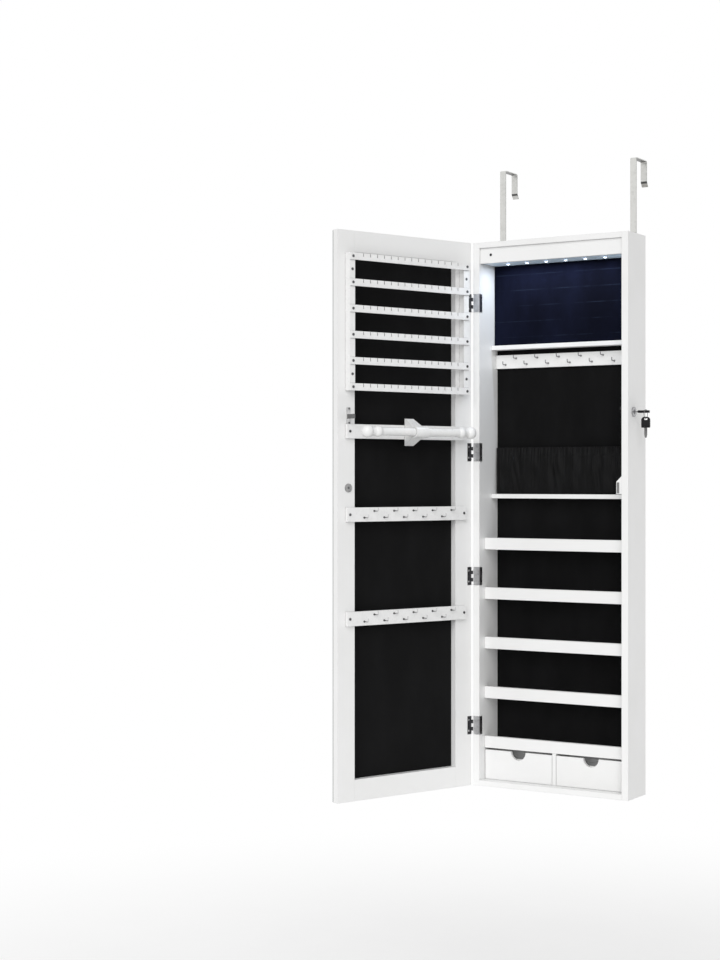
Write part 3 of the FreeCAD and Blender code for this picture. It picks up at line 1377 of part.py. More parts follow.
def strike_and_plate():
    """The lock's strike with its lip, and the catch's steel plate, on the free stile."""
    base_face = f"({DOOR_FACE} + strike_sheet)"
    lip_face = "(-depth + lock_set_back - cam_hook_low + cam_play)"
    lip_low = f"({lip_face} - {PIN_Y})"
    lip_high = f"({lip_low} + strike_sheet)"
    tab_ends = (STRIKE_TAB, f"{STRIKE_TAB} + strike_sheet")
    tab_level = ("strike_level + tab_rise", "strike_level + tab_rise + tab_height")
    base = block(
        "strike_base",
        (f"{STRIKE_TAB} - strike_width + strike_sheet", tab_ends[1]),
        (DOOR_FACE, base_face),
        ("strike_level", "strike_level + strike_height"),
    )
    tab = block("strike_tab", tab_ends, (DOOR_FACE, lip_high), tab_level)
    lip_end = f"{INNER} - nut_sheet - barrel_tail - cam_play - {PIN_X}"
    lip = block("strike_lip", (STRIKE_TAB, lip_end), (lip_low, lip_high), tab_level)
    hole = ("flat_shank + screw_play", "flat_head + screw_play")
    sinks = [
        taper(
            "strike_sink",
            "Y",
            f"{STRIKE_TAB} - strike_screw_side",
            f"{base_face} - leaf_sheet",
            level,
            "leaf_sheet",
            *hole,
        )
        for level in STRIKE_SCREWS
    ]
    holes = [
        rod(
            "strike_hole",
            "Y",
            f"{STRIKE_TAB} - strike_screw_side",
            DOOR_FACE,
            level,
            "strike_sheet",
            hole[0],
        )
        for level in STRIKE_SCREWS
    ]
    strike = without("strike", joined("strike_blank", [base, tab, lip]), sinks + holes)
    node(hang(strike), "lock_strike")
    disc = rod("plate_disc", "Y", PLATE_PLACE, DOOR_FACE, PLATE_HEIGHT, "plate_sheet", "plate_radius")
    plate_hole = rod("plate_hole", "Y", PLATE_PLACE, DOOR_FACE, PLATE_HEIGHT, "plate_sheet", hole[0])
    plate_sink = taper(
        "plate_sink",
        "Y",
        PLATE_PLACE,
        f"{DOOR_FACE} + plate_sheet - leaf_sheet",
        PLATE_HEIGHT,
        "leaf_sheet",
        *hole,
    )
    node(hang(without("plate", disc, [plate_hole, plate_sink])), "catch_plate")


def fitting_screws(flat_screw):
    """The screws that hold the fittings on the door."""
    rail_screw = pan_screw("rail_screw", "door_rail_board + pan_grip")
    bar_screw = pan_screw("bar_screw", "earring_bar_sheet + pan_grip")
    bracket_screw = pan_screw("bracket_screw", "bracket_depth + pan_grip")
    rail_places = [(x, RAIL_FACE, level) for level in RAIL_SCREW_LEVELS for x in FITTING_SCREWS]
    bar_places = [
        (x, f"{BRACKET_FACE} + earring_bar_sheet",
         f"earring_top - {index} * earring_pitch - earring_bar_height / 2")
        for index in range(EARRING_BARS)
        for x in FITTING_SCREWS
    ]
    bracket_places = [(x, BRACKET_FACE, level) for level in BRACKET_SCREWS for x in FITTING_SCREWS]
    flat_places = [
        (f"{STRIKE_TAB} - strike_screw_side", f"{DOOR_FACE} + strike_sheet", level)
        for level in STRIKE_SCREWS
    ]
    flat_places.append((PLATE_PLACE, f"{DOOR_FACE} + plate_sheet", PLATE_HEIGHT))
    items = copies("rail_screw", rail_screw, rail_places)
    items += copies("bar_screw", bar_screw, bar_places)
    items += copies("bracket_screw", bracket_screw, bracket_places)
    items += copies("flat_screw", flat_screw, flat_places)
    group("door_fitting_screws", items)
    hang(nodes[-1])


def check():
    """Stop if a feature failed, a pocket cut nothing or a piece is not a valid solid."""
    for item in doc.Objects:
        if {"Invalid", "Error"} & set(item.State):
            raise RuntimeError(f"{item.Label} failed: {item.State}")
    for before, cut in pockets:
        if cut.Shape.Volume > before.Shape.Volume - 1e-6:
            raise RuntimeError(f"{cut.Label} removed nothing")
    for item in nodes:
        if item.Shape.isNull() or not item.Shape.isValid() or not item.Shape.Solids:
            raise RuntimeError(f"{item.Label} is not a valid solid")


def write():
    """Write each piece to a file of its own."""
    os.makedirs("parts", exist_ok=True)
    for item in nodes:
        item.Shape.exportStep(os.path.join("parts", f"{item.Label}.step"))
        print(item.Label, len(item.Shape.Solids), "solids", round(item.Shape.Volume / 1000, 2), "cm3")


carcass()
shelves()
lamps()
necklace_rail()
pouch()
drawer(-1, "drawer_left")
drawer(1, "drawer_right")
catch()
lock()
keys()
straps()
leaf_screw = hinges()
door_frame()
earring_rack()
bracelet_holder()
door_hook_rails()
strike_and_plate()
fitting_screws(leaf_screw)
doc.recompute()
check()
write()
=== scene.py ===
"""Looks of the hanging jewelry cabinet: finishes, cloth pieces, lamps, studio and camera."""

import logging
import math
from abc import ABC, abstractmethod
from collections.abc import Callable, Mapping, Sequence
from dataclasses import dataclass
from enum import Enum
from typing import TypeVar

import bmesh
import bpy
import numpy as np
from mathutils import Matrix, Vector


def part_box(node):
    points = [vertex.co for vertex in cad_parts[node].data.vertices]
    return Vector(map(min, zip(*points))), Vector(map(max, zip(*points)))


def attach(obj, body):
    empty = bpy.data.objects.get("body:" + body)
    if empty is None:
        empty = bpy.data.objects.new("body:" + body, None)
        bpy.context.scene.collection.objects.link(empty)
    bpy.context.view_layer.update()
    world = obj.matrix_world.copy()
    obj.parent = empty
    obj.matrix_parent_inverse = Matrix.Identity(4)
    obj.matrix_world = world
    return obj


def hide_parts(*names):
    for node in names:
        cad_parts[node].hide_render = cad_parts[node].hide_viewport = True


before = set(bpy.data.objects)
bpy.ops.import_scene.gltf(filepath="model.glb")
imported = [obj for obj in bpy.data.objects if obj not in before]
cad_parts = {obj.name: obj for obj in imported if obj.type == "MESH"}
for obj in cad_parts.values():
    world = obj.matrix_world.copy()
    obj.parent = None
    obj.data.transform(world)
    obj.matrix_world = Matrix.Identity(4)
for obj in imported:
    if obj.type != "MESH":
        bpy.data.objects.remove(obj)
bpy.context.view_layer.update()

log = logging.getLogger("jewelry_cabinet")

Triple = tuple[float, float, float]
Colour = Triple
Span = tuple[float, float]
Array = np.ndarray

# Millimetres as metres
MM = 0.001
# Points closer than this are one point
SAME_PLACE = 0.001 * MM
# Rows in a sheet's rounded edge
EDGE_ROWS = 7
WHITE: Colour = (1.0, 1.0, 1.0)
# Factors that leave a pattern as it is
EVEN: Triple = (1.0, 1.0, 1.0)

# The hinge pins' line, across and back, and how far the door stands open
HINGE_PIN: Span = (-187.7 * MM, -93.0 * MM)
OPEN_ANGLE = math.radians(110.0)


class Body(str, Enum):
    """The bodies that pieces ride on."""

    CABINET = "cabinet"
    DOOR = "door"
    DRAWER_LEFT = "drawer_left"
    DRAWER_RIGHT = "drawer_right"


class Slot(str, Enum):
    """The record's material slots."""

    LACQUER = "white_lacquer"
    HARDBOARD = "hardboard"
    VELVET = "black_velvet"
    CLOTH = "black_cloth"
    FELT = "grey_felt"
    MIRROR = "mirror"
    PLASTIC = "white_plastic"
    WIRE = "dark_steel"
    HINGE = "hinge_steel"
    STRAP = "strap_steel"
    SCREW = "screw_black"
    MAGNET = "magnet"
    LOCK = "lock_metal"
    KEY_BOW = "key_plastic"
    KEY_BLADE = "key_metal"
    LENS = "lamp_lens"
    SENSOR = "sensor_lens"
    CIRCUIT = "circuit_board"
    BATTERY = "battery_case"


def operator(operation: str, turned: bool = False) -> Callable[["Signal", "Signal | float"], "Signal"]:
    """Makes an operator of signals.

    Args:
        operation: the Math node's operation.
        turned: whether the other value comes first.

    Returns:
        The operator, as a method.
    """

    def apply(self: "Signal", other: "Signal | float") -> "Signal":
        """Adds the operator's Math node."""
        values = (other, self) if turned else (self, other)
        return self.graph.math(operation, *values)

    return apply


class Signal:
    """One output of a shader node; arithmetic on it adds Math nodes."""

    __add__ = operator("ADD")
    __radd__ = operator("ADD", turned=True)
    __sub__ = operator("SUBTRACT")
    __rsub__ = operator("SUBTRACT", turned=True)
    __mul__ = operator("MULTIPLY")
    __rmul__ = operator("MULTIPLY", turned=True)
    __truediv__ = operator("DIVIDE")
    __rtruediv__ = operator("DIVIDE", turned=True)
    __pow__ = operator("POWER")
    largest = operator("MAXIMUM")

    def __init__(self, graph: "Graph", output: bpy.types.NodeSocket) -> None:
        """Keeps the graph and the output socket."""
        self.graph = graph
        self.output = output

    def __neg__(self) -> "Signal":
        """The signal with its sign turned."""
        return self * -1.0

    def sine(self) -> "Signal":
        """Sine of the signal, in radians."""
        return self.graph.math("SINE", self)

    def fraction(self) -> "Signal":
        """What is left above the next lower whole number."""
        return self.graph.math("FRACT", self)

    def magnitude(self) -> "Signal":
        """The signal without its sign."""
        return self.graph.math("ABSOLUTE", self)

    def between(self, start: float, end: float) -> "Signal":
        """The number at that share of the way from start to end."""
        return start + self * (end - start)

    def step(self, low: float, high: float) -> "Signal":
        """A smooth step from 0 at low to 1 at high.

        Args:
            low: value at which the step starts.
            high: value at which it ends.

        Returns:
            The step, from 0 to 1.
        """
        settings = {"interpolation_type": "SMOOTHSTEP"}
        inputs = {"Value": self, "From Min": low, "From Max": high}
        return self.graph.node("ShaderNodeMapRange", settings, inputs)


Input = Signal | float | Sequence[float]
Length = TypeVar("Length", Array, Signal)


@dataclass(frozen=True)
class Grain:
    """Fractal noise: cells in a metre, octaves, weight of the finer ones, a factor for each axis, and the
    values between which a mask of it fades in."""

    scale: float
    detail: float = 3.0
    rough: float = 0.55
    stretch: Triple = EVEN
    fade: Span = (0.0, 1.0)


class Graph:
    """A shader node tree that is filled through one generic method."""

    EDGE_SETTINGS = {"samples": 4}
    CORNER_SHADE_SETTINGS = {"samples": 6}
    # Agreement of the rounded and the plain normal, between which an edge fades out
    RIM_FADE: Span = (0.86, 0.998)
    # Open share of the view from a place, between which the painted corner shade fades out
    CORNER_SHADE_FADE: Span = (0.25, 0.85)
    # A Mix node's two colours and its result
    MIX_FIRST = 6
    MIX_SECOND = 7
    MIX_RESULT = 2

    def __init__(self, tree: bpy.types.NodeTree) -> None:
        """Empties the tree and keeps it."""
        self.tree = tree
        tree.nodes.clear()

    def node(
        self,
        kind: str,
        settings: Mapping[str, object],
        inputs: Mapping[str | int, Input],
        output: str | int = 0,
    ) -> Signal:
        """Adds a node.

        Args:
            kind: the node's type.
            settings: properties, set before the sockets.
            inputs: signals or plain values by socket name or number.
            output: name or number of the output to hand back.

        Returns:
            The chosen output.
        """
        made = self.tree.nodes.new(kind)
        for name, value in settings.items():
            setattr(made, name, value)
        for name, value in inputs.items():
            socket = made.inputs[name]
            if isinstance(value, Signal):
                self.tree.links.new(value.output, socket)
            else:
                socket.default_value = value
        return Signal(self, made.outputs[output])

    def close(self, kind: str, surface: Signal) -> None:
        """Adds the output node of that type and joins the surface to it."""
        made = self.tree.nodes.new(kind)
        self.tree.links.new(surface.output, made.inputs["Surface"])

    def math(self, operation: str, *values: Signal | float) -> Signal:
        """Adds a Math node for one or two values."""
        return self.node("ShaderNodeMath", {"operation": operation}, dict(enumerate(values)))

    def place(self, stretch: Triple) -> Signal:
        """Object coordinates in metres, multiplied by stretch along each axis."""
        here = self.node("ShaderNodeTexCoord", {}, {}, "Object")
        return self.node("ShaderNodeVectorMath", {"operation": "MULTIPLY"}, {0: here, 1: stretch})

    def axis(self, which: int) -> Signal:
        """One object coordinate in metres."""
        here = self.node("ShaderNodeTexCoord", {}, {}, "Object")
        return self.node("ShaderNodeSeparateXYZ", {}, {0: here}, which)

    def noise(self, grain: Grain) -> Signal:
        """Fractal noise in object space.

        Args:
            grain: how coarse and how rough it is.

        Returns:
            The noise, about 0 to 1.
        """
        inputs = {
            "Vector": self.place(grain.stretch),
            "Scale": grain.scale,
            "Detail": grain.detail,
            "Roughness": grain.rough,
        }
        return self.node("ShaderNodeTexNoise", {}, inputs)

    def mask(self, grain: Grain) -> Signal:
        """The noise, faded in from 0 to 1."""
        return self.noise(grain).step(*grain.fade)

    def mix(self, share: Signal | float, first: Input, second: Input) -> Signal:
        """A colour between two: first at share 0, second at share 1."""
        inputs = {0: share, self.MIX_FIRST: opaque(first), self.MIX_SECOND: opaque(second)}
        return self.node("ShaderNodeMix", {"data_type": "RGBA"}, inputs, self.MIX_RESULT)

    def soft_edge(self, radius: float) -> Signal:
        """A normal that runs round the edges with that radius."""
        return self.node("ShaderNodeBevel", self.EDGE_SETTINGS, {"Radius": radius})

    def rim(self, radius: float) -> Signal:
        """Tells edges from faces, by the rounded normal against the plain one.

        Args:
            radius: how far an edge reaches.

        Returns:
            1 along the edges and 0 away from them.
        """
        plain = self.node("ShaderNodeNewGeometry", {}, {}, "Normal")
        sockets = {0: self.soft_edge(radius), 1: plain}
        level = self.node("ShaderNodeVectorMath", {"operation": "DOT_PRODUCT"}, sockets, "Value")
        return 1.0 - level.step(*self.RIM_FADE)

    def painted_corner_shade(self, reach: float) -> Signal:
        """Mask for painted shade: 1 in corners and slots narrower than reach and 0 on open faces."""
        view = self.node("ShaderNodeAmbientOcclusion", self.CORNER_SHADE_SETTINGS, {"Distance": reach}, "AO")
        return 1.0 - view.step(*self.CORNER_SHADE_FADE)

    def bump(self, height: Signal, depth: float, normal: Signal | None = None) -> Signal:
        """A normal that shows height as relief.

        Args:
            height: relief, about 0 to 1.
            depth: metres that a height of 1 stands for.
            normal: the normal to start from.

        Returns:
            The bumped normal.
        """
        inputs: dict[str | int, Input] = {"Height": height, "Distance": depth}
        if normal is not None:
            inputs["Normal"] = normal
        return self.node("ShaderNodeBump", {}, inputs)

    def surface(self, inputs: Mapping[str | int, Input]) -> Signal:
        """A Principled surface with those inputs."""
        return self.node("ShaderNodeBsdfPrincipled", {}, inputs)


def opaque(value: Input) -> Input:
    """A plain colour with full alpha; signals pass through."""
    return value if isinstance(value, Signal) else (*value, 1.0)


def grey(level: float, blue: float | None = None) -> Colour:
    """A grey, whose blue may differ."""
    return (level, level, level if blue is None else blue)


def tinted(colour: Colour, factor: float) -> Colour:
    """The colour with each channel multiplied by the factor."""
    return (colour[0] * factor, colour[1] * factor, colour[2] * factor)


def hypotenuse(across: Signal, along: Signal) -> Signal:
    """The distance that two lengths at right angles make."""
    return (across * across + along * along) ** 0.5


@dataclass(frozen=True)
class DoorPlane:
    """The opened door's own directions: along it from the pin, out of its inner face, and up."""

    pin: Span = HINGE_PIN
    angle: float = OPEN_ANGLE

    def along(self, x: Length, y: Length) -> Length:
        """Length along the door, from places across and back."""
        return (x - self.pin[0]) * math.cos(self.angle) - (y - self.pin[1]) * math.sin(self.angle)

    def out(self, x: Length, y: Length) -> Length:
        """Length out of the door's inner face, from places across and back."""
        return (x - self.pin[0]) * math.sin(self.angle) + (y - self.pin[1]) * math.cos(self.angle)

    def world(self, along: Array, out: Array, up: Array) -> Array:
        """Turns the door's own lengths into points of the room.

        Args:
            along: lengths along the door.
            out: lengths out of its inner face.
            up: heights.

        Returns:
            The points, with their coordinates last.
        """
        cosine = math.cos(self.angle)
        sine = math.sin(self.angle)
        x = self.pin[0] + along * cosine + out * sine
        y = self.pin[1] - along * sine + out * cosine
        return np.stack([x, y, up], axis=-1)


DOOR = DoorPlane()

# Orange peel of sprayed lacquer
PEEL = Grain(420.0, 2.0, 0.4)
PEEL_DEPTH = 0.05 * MM


@dataclass(frozen=True)
class Finish(ABC):
    """How a material looks."""

    def material(self, name: str) -> bpy.types.Material:
        """Makes a Blender material with this finish.

        Args:
            name: the material's name.

        Returns:
            The material.
        """
        made = bpy.data.materials.new(name)
        made.use_nodes = True
        graph = Graph(made.node_tree)
        graph.close("ShaderNodeOutputMaterial", self.surface(graph))
        return made

    @abstractmethod
    def surface(self, graph: Graph) -> Signal:
        """Builds the surface shader in the graph and hands it back."""


@dataclass(frozen=True)
class Coat(Finish):
    """A painted or moulded surface; as it stands, satin lacquer sprayed on board."""

    colour: Colour = (0.815, 0.815, 0.812)
    patch: Colour = (0.795, 0.795, 0.788)
    # Colour of the painted shade in corners and slots
    painted_corner_shade: Colour = (0.56, 0.56, 0.55)
    gloss: Span = (0.30, 0.42)
    specular: float = 0.5
    reach: float = 3.0 * MM
    edge: float = 1.2 * MM
    patches: Grain = Grain(9.0, 4.0, fade=(0.35, 0.7))
    haze: Grain = Grain(40.0, 5.0, 0.6)
    relief: Grain = PEEL
    depth: float = PEEL_DEPTH

    def surface(self, graph: Graph) -> Signal:
        """Patches in the colour, painted shade in corners, varying gloss and a fine relief over rounded
        edges.

        Args:
            graph: the material's graph.

        Returns:
            The surface shader.
        """
        paint = graph.mix(graph.mask(self.patches), self.colour, self.patch)
        inputs = {
            "Base Color": graph.mix(graph.painted_corner_shade(self.reach), paint, self.painted_corner_shade),
            "Roughness": graph.noise(self.haze).between(*self.gloss),
            "Specular IOR Level": self.specular,
            "Normal": graph.bump(graph.noise(self.relief), self.depth, graph.soft_edge(self.edge)),
        }
        return graph.surface(inputs)


def moulding(
    colour: Colour,
    flow: float,
    painted_corner_shade: float,
    gloss: Span,
    specular: float = 0.5,
    depth: float = 0.02 * MM,
) -> Coat:
    """Moulded plastic with faint flow marks drawn out along X, a fine grain and painted shade in its corners
    and slots.

    Args:
        colour: its colour.
        flow: factor on the colour in the flow marks.
        painted_corner_shade: factor on the colour for the painted shade in corners and slots.
        gloss: least and most roughness.
        specular: strength of its reflections.
        depth: depth of the grain.

    Returns:
        The finish.
    """
    return Coat(
        colour,
        tinted(colour, flow),
        tinted(colour, painted_corner_shade),
        gloss,
        specular,
        reach=4.0 * MM,
        edge=0.5 * MM,
        patches=Grain(60.0, 3.0, 0.5, (0.25, 1.0, 1.0), (0.3, 0.75)),
        haze=Grain(220.0),
        relief=Grain(1500.0, 2.0),
        depth=depth,
    )


@dataclass(frozen=True)
class Metal(Finish):
    """Metal with rolling or brushing marks along one axis, light tarnish and a painted reflection along its
    edges.
    """

    colour: Colour
    tarnish: Colour
    gloss: Span
    stretch: Triple = EVEN
    rim: float = 0.4 * MM
    # Share and colour of the painted reflection along the edges
    edge_reflection_share: float = 0.6
    edge_reflection_colour: Colour = grey(0.05)
    spots: Grain = Grain(130.0, 5.0, 0.6, fade=(0.42, 0.75))
    mark_scale: float = 900.0
    mark_rough: float = 0.6
    mark_depth: float = 0.02 * MM
    edge: float = 0.25 * MM

    def paint(self, graph: Graph) -> Signal:
        """Tarnish in patches and a painted reflection along the edges."""
        plain = graph.mix(graph.mask(self.spots), self.colour, self.tarnish)
        return graph.mix(graph.rim(self.rim) * self.edge_reflection_share, plain, self.edge_reflection_colour)

    def surface(self, graph: Graph) -> Signal:
        """The paint with marks along the drawn-out axis in gloss and relief.

        Args:
            graph: the material's graph.

        Returns:
            The surface shader.
        """
        marks = graph.noise(Grain(self.mark_scale, rough=self.mark_rough, stretch=self.stretch))
        inputs = {
            "Base Color": self.paint(graph),
            "Roughness": marks.between(*self.gloss),
            "Metallic": 1.0,
            "Normal": graph.bump(marks, self.mark_depth, graph.soft_edge(self.edge)),
        }
        return graph.surface(inputs)


@dataclass(frozen=True)
class HingeSteel(Metal):
    """Hinge sheet with a painted highlight on its rolled knuckles."""

    # Colour of the painted highlight on the knuckles, and the distances from the pin's line over which it
    # fades
    bright: Colour = grey(0.86)
    fade: Span = (3.2 * MM, 4.6 * MM)

    def paint(self, graph: Graph) -> Signal:
        """A painted highlight near the pin's line, and the plain paint on the leaf."""
        distance = hypotenuse(graph.axis(0) - HINGE_PIN[0], graph.axis(1) - HINGE_PIN[1])
        return graph.mix(distance.step(*self.fade), self.bright, super().paint(graph))


@dataclass(frozen=True)
class StripSteel(Metal):
    """Steel strip with painted shade under its bridge and a painted dark reflection along the fold above its
    lip.
    """

    # Colour of the painted shade on downward faces and of the painted dark reflection at the fold
    below: Colour = grey(0.10)
    downward: Span = (0.7, 0.95)
    rear_leg: Span = (30.0 * MM, 31.0 * MM)
    fold_level: float = 1324.6 * MM
    fold_fade: Span = (1.4 * MM, 3.0 * MM)

    def paint(self, graph: Graph) -> Signal:
        """Plain above and at the sides, with painted shade below and a painted dark reflection at the rear
        leg's fold.

        Args:
            graph: the material's graph.

        Returns:
            The colour.
        """
        normal = graph.node("ShaderNodeNewGeometry", {}, {}, "True Normal")
        upward = graph.node("ShaderNodeSeparateXYZ", {}, {0: normal}, 2)
        fold = 1.0 - (graph.axis(2) - self.fold_level).magnitude().step(*self.fold_fade)
        painted_shade = (-upward).step(*self.downward).largest(fold * graph.axis(1).step(*self.rear_leg))
        return graph.mix(painted_shade, super().paint(graph), self.below)


@dataclass(frozen=True)
class DoorSteel(Metal):
    """Sheet or wire on the door with painted light: the foot in its plain paint and, where it stands off the
    door, another painted tone, bright on the hooks and dark on the strike's tab.
    """

    tip_painted_light: Colour = grey(0.17)
    tip_light_fade: Span = (0.8 * MM, 1.6 * MM)

    def paint(self, graph: Graph) -> Signal:
        """The foot's paint, which gives way to the tip's painted light with the distance from the door's
        face.
        """
        distance = DOOR.out(graph.axis(0), graph.axis(1))
        return graph.mix(distance.step(*self.tip_light_fade), super().paint(graph), self.tip_painted_light)


def nap(scale: float) -> Grain:
    """Strokes of a nap, drawn out upwards."""
    return Grain(scale, 5.0, 0.6, (1.0, 1.0, 0.45), (0.35, 0.72))


def fuzz(scale: float) -> Grain:
    """Fibres of a nap."""
    return Grain(scale, 2.0, 0.7, fade=(0.35, 0.8))


@dataclass(frozen=True)
class Pile(Finish):
    """Velvet or felt: broad strokes in the nap, fibres in relief and a constant sheen."""

    colour: Colour
    brushed: Colour
    sheen: float = 0.03
    sheen_tint: Colour = WHITE
    sheen_rough: float = 0.45
    specular: float = 0.06
    gloss: Span = (0.92, 0.80)
    strokes: Grain = nap(14.0)
    stroke_share: float = 0.65
    fibres: Grain = fuzz(1600.0)
    fibre_depth: float = 0.25 * MM
    line: Colour = grey(0.0)
    line_pitch: float = 0.0
    line_level: float = 0.0
    line_fade: Span = (0.965, 1.0)
    dashes: Grain = Grain(38.0, 4.0, 0.65, (0.3, 1.0, 0.5), (0.42, 0.68))
    bare: Colour = grey(0.86)
    bare_level: float = 0.0
    bare_half: float = 0.5 * MM

    def surface(self, graph: Graph) -> Signal:
        """Strokes of the nap, fibre speckle, broken level lines and a bare foot without pile.

        Args:
            graph: the material's graph.

        Returns:
            The surface shader.
        """
        strokes = graph.noise(self.strokes)
        fibres = graph.noise(self.fibres)
        broad = strokes.step(*self.strokes.fade) * self.stroke_share
        share = broad + fibres.step(*self.fibres.fade) * (1.0 - self.stroke_share)
        colour = graph.mix(share, self.colour, self.brushed)
        if self.line_pitch:
            turns = (graph.axis(2) - self.line_level) * (2.0 * math.pi / self.line_pitch)
            lines = (turns + math.pi / 2).sine().step(*self.line_fade)
            colour = graph.mix(lines * graph.mask(self.dashes), colour, self.line)
        if self.bare_level:
            border = (self.bare_level - self.bare_half, self.bare_level + self.bare_half)
            colour = graph.mix(graph.axis(2).step(*border), self.bare, colour)
        inputs = {
            "Base Color": colour,
            "Roughness": strokes.between(*self.gloss),
            "Specular IOR Level": self.specular,
            "Sheen Weight": self.sheen,
            "Sheen Roughness": self.sheen_rough,
            "Sheen Tint": opaque(self.sheen_tint),
            "Normal": graph.bump(fibres, self.fibre_depth),
        }
        return graph.surface(inputs)


@dataclass(frozen=True)
class Satin(Finish):
    """Thin satin cloth: a fine weave and a soft gloss that changes from fold to fold."""

    colour: Colour = grey(0.0026, 0.0027)
    bright: Colour = grey(0.0058, 0.0062)
    gloss: Span = (0.5, 0.7)
    specular: float = 0.10
    sheen: float = 0.02
    sheen_rough: float = 0.4
    thread: float = 0.7 * MM
    thread_depth: float = 0.06 * MM
    across_share: float = 0.35
    up_share: float = 0.15
    patches: Grain = Grain(70.0, 4.0, 0.6, (1.0, 1.0, 0.3), (0.3, 0.75))
    patch_relief: float = 0.6

    def surface(self, graph: Graph) -> Signal:
        """Threads across and up in relief, patches in colour and gloss.

        Args:
            graph: the material's graph.

        Returns:
            The surface shader.
        """
        turns = 2.0 * math.pi / self.thread
        across = (graph.axis(0) * turns).sine()
        up = (graph.axis(2) * turns).sine()
        weave = across * self.across_share + up * self.up_share + 0.5
        patches = graph.noise(self.patches)
        inputs = {
            "Base Color": graph.mix(patches.step(*self.patches.fade), self.colour, self.bright),
            "Roughness": patches.between(*self.gloss),
            "Specular IOR Level": self.specular,
            "Sheen Weight": self.sheen,
            "Sheen Roughness": self.sheen_rough,
            "Normal": graph.bump(weave + patches * self.patch_relief, self.thread_depth),
        }
        return graph.surface(inputs)


@dataclass(frozen=True)
class Silvering(Finish):
    """A silvered glass pane with the faintest haze of wiping and a darker ground edge."""

    colour: Colour = (0.90, 0.92, 0.92)
    patch: Colour = (0.78, 0.86, 0.83)
    ground: Colour = (0.22, 0.25, 0.24)
    gloss: Span = (0.012, 0.042)
    edge: float = 1.5 * MM
    middle: Span = (187.7 * MM, 600.0 * MM)
    half: Span = (184.2 * MM, 599.2 * MM)
    skin: float = 0.2 * MM
    wipes: Grain = Grain(22.0, 5.0, 0.65, (1.0, 1.0, 0.35))
    patch_fade: Span = (0.55, 0.95)
    patch_share: float = 0.15
    haze_fade: Span = (0.5, 0.9)

    def at_edge(self, graph: Graph) -> Signal:
        """Tells the pane's four narrow sides from its faces, by lengths along the door and up.

        Args:
            graph: the material's graph.

        Returns:
            1 on the narrow sides and 0 on the faces.
        """
        along = DOOR.along(graph.axis(0), graph.axis(1))
        sideways = (along - self.middle[0]).magnitude() - self.half[0]
        upright = (graph.axis(2) - self.middle[1]).magnitude() - self.half[1]
        return sideways.largest(upright).step(-2 * self.skin, -self.skin)

    def surface(self, graph: Graph) -> Signal:
        """Wiping marks in the gloss, a greenish tint in broad patches and a ground edge.

        Args:
            graph: the material's graph.

        Returns:
            The surface shader.
        """
        wipes = graph.noise(self.wipes)
        share = wipes.step(*self.patch_fade) * self.patch_share
        pane = graph.mix(share, self.colour, self.patch)
        inputs = {
            "Base Color": graph.mix(self.at_edge(graph), pane, self.ground),
            "Metallic": 1.0,
            "Roughness": wipes.step(*self.haze_fade).between(*self.gloss),
            "Normal": graph.soft_edge(self.edge),
        }
        return graph.surface(inputs)


@dataclass(frozen=True)
class Fibreboard(Finish):
    """Plain hardboard with pressed fibres."""

    colour: Colour = (0.30, 0.19, 0.10)
    dark: Colour = (0.19, 0.115, 0.06)
    gloss: Span = (0.55, 0.80)
    fibres: Grain = Grain(260.0, 6.0, 0.7, (1.0, 1.0, 0.5), (0.35, 0.7))
    fibre_share: float = 0.7
    fibre_depth: float = 0.15 * MM
    broad: Grain = Grain(11.0, fade=(0.3, 0.8))

    def surface(self, graph: Graph) -> Signal:
        """Fibres in colour and relief over broad shading.

        Args:
            graph: the material's graph.

        Returns:
            The surface shader.
        """
        fibres = graph.noise(self.fibres)
        broad = graph.mask(self.broad) * (1.0 - self.fibre_share)
        share = fibres.step(*self.fibres.fade) * self.fibre_share + broad
        inputs = {
            "Base Color": graph.mix(share, self.colour, self.dark),
            "Roughness": fibres.between(*self.gloss),
            "Normal": graph.bump(fibres, self.fibre_depth),
        }
        return graph.surface(inputs)


@dataclass(frozen=True)
class LampGrid:
    """Where the six lamps sit under the soffit."""

    count: int = 6
    pitch: float = 46.6 * MM
    line: float = -57.0 * MM
    foot: float = 1151.6 * MM

    def distance(self, graph: Graph) -> Signal:
        """Distance from the nearest lamp's middle, seen from below, in metres."""
        across = ((graph.axis(0) / self.pitch).fraction() - 0.5) * self.pitch
        return hypotenuse(across, graph.axis(1) - self.line)


LAMPS = LampGrid()


@dataclass(frozen=True)
class Lens(Finish):
    """A lit lamp lens: a bright core in a dim moulded rim."""

    glow: Colour = (0.90, 0.95, 1.0)
    rim: Colour = (0.035, 0.05, 0.075)
    fade: Span = (1.3 * MM, 4.0 * MM)
    strength: float = 12.0
    gloss: Span = (0.2, 0.35)
    ripples: Grain = Grain(500.0, 2.0)
    ripple_depth: float = 0.1 * MM

    def surface(self, graph: Graph) -> Signal:
        """The glow fades from the core to the rim, with ripples in the moulded face.

        Args:
            graph: the material's graph.

        Returns:
            The surface shader.
        """
        ripples = graph.noise(self.ripples)
        colour = graph.mix(LAMPS.distance(graph).step(*self.fade), self.glow, self.rim)
        inputs = {
            "Base Color": colour,
            "Roughness": ripples.between(*self.gloss),
            "Emission Color": colour,
            "Emission Strength": self.strength,
            "Normal": graph.bump(ripples, self.ripple_depth),
        }
        return graph.surface(inputs)


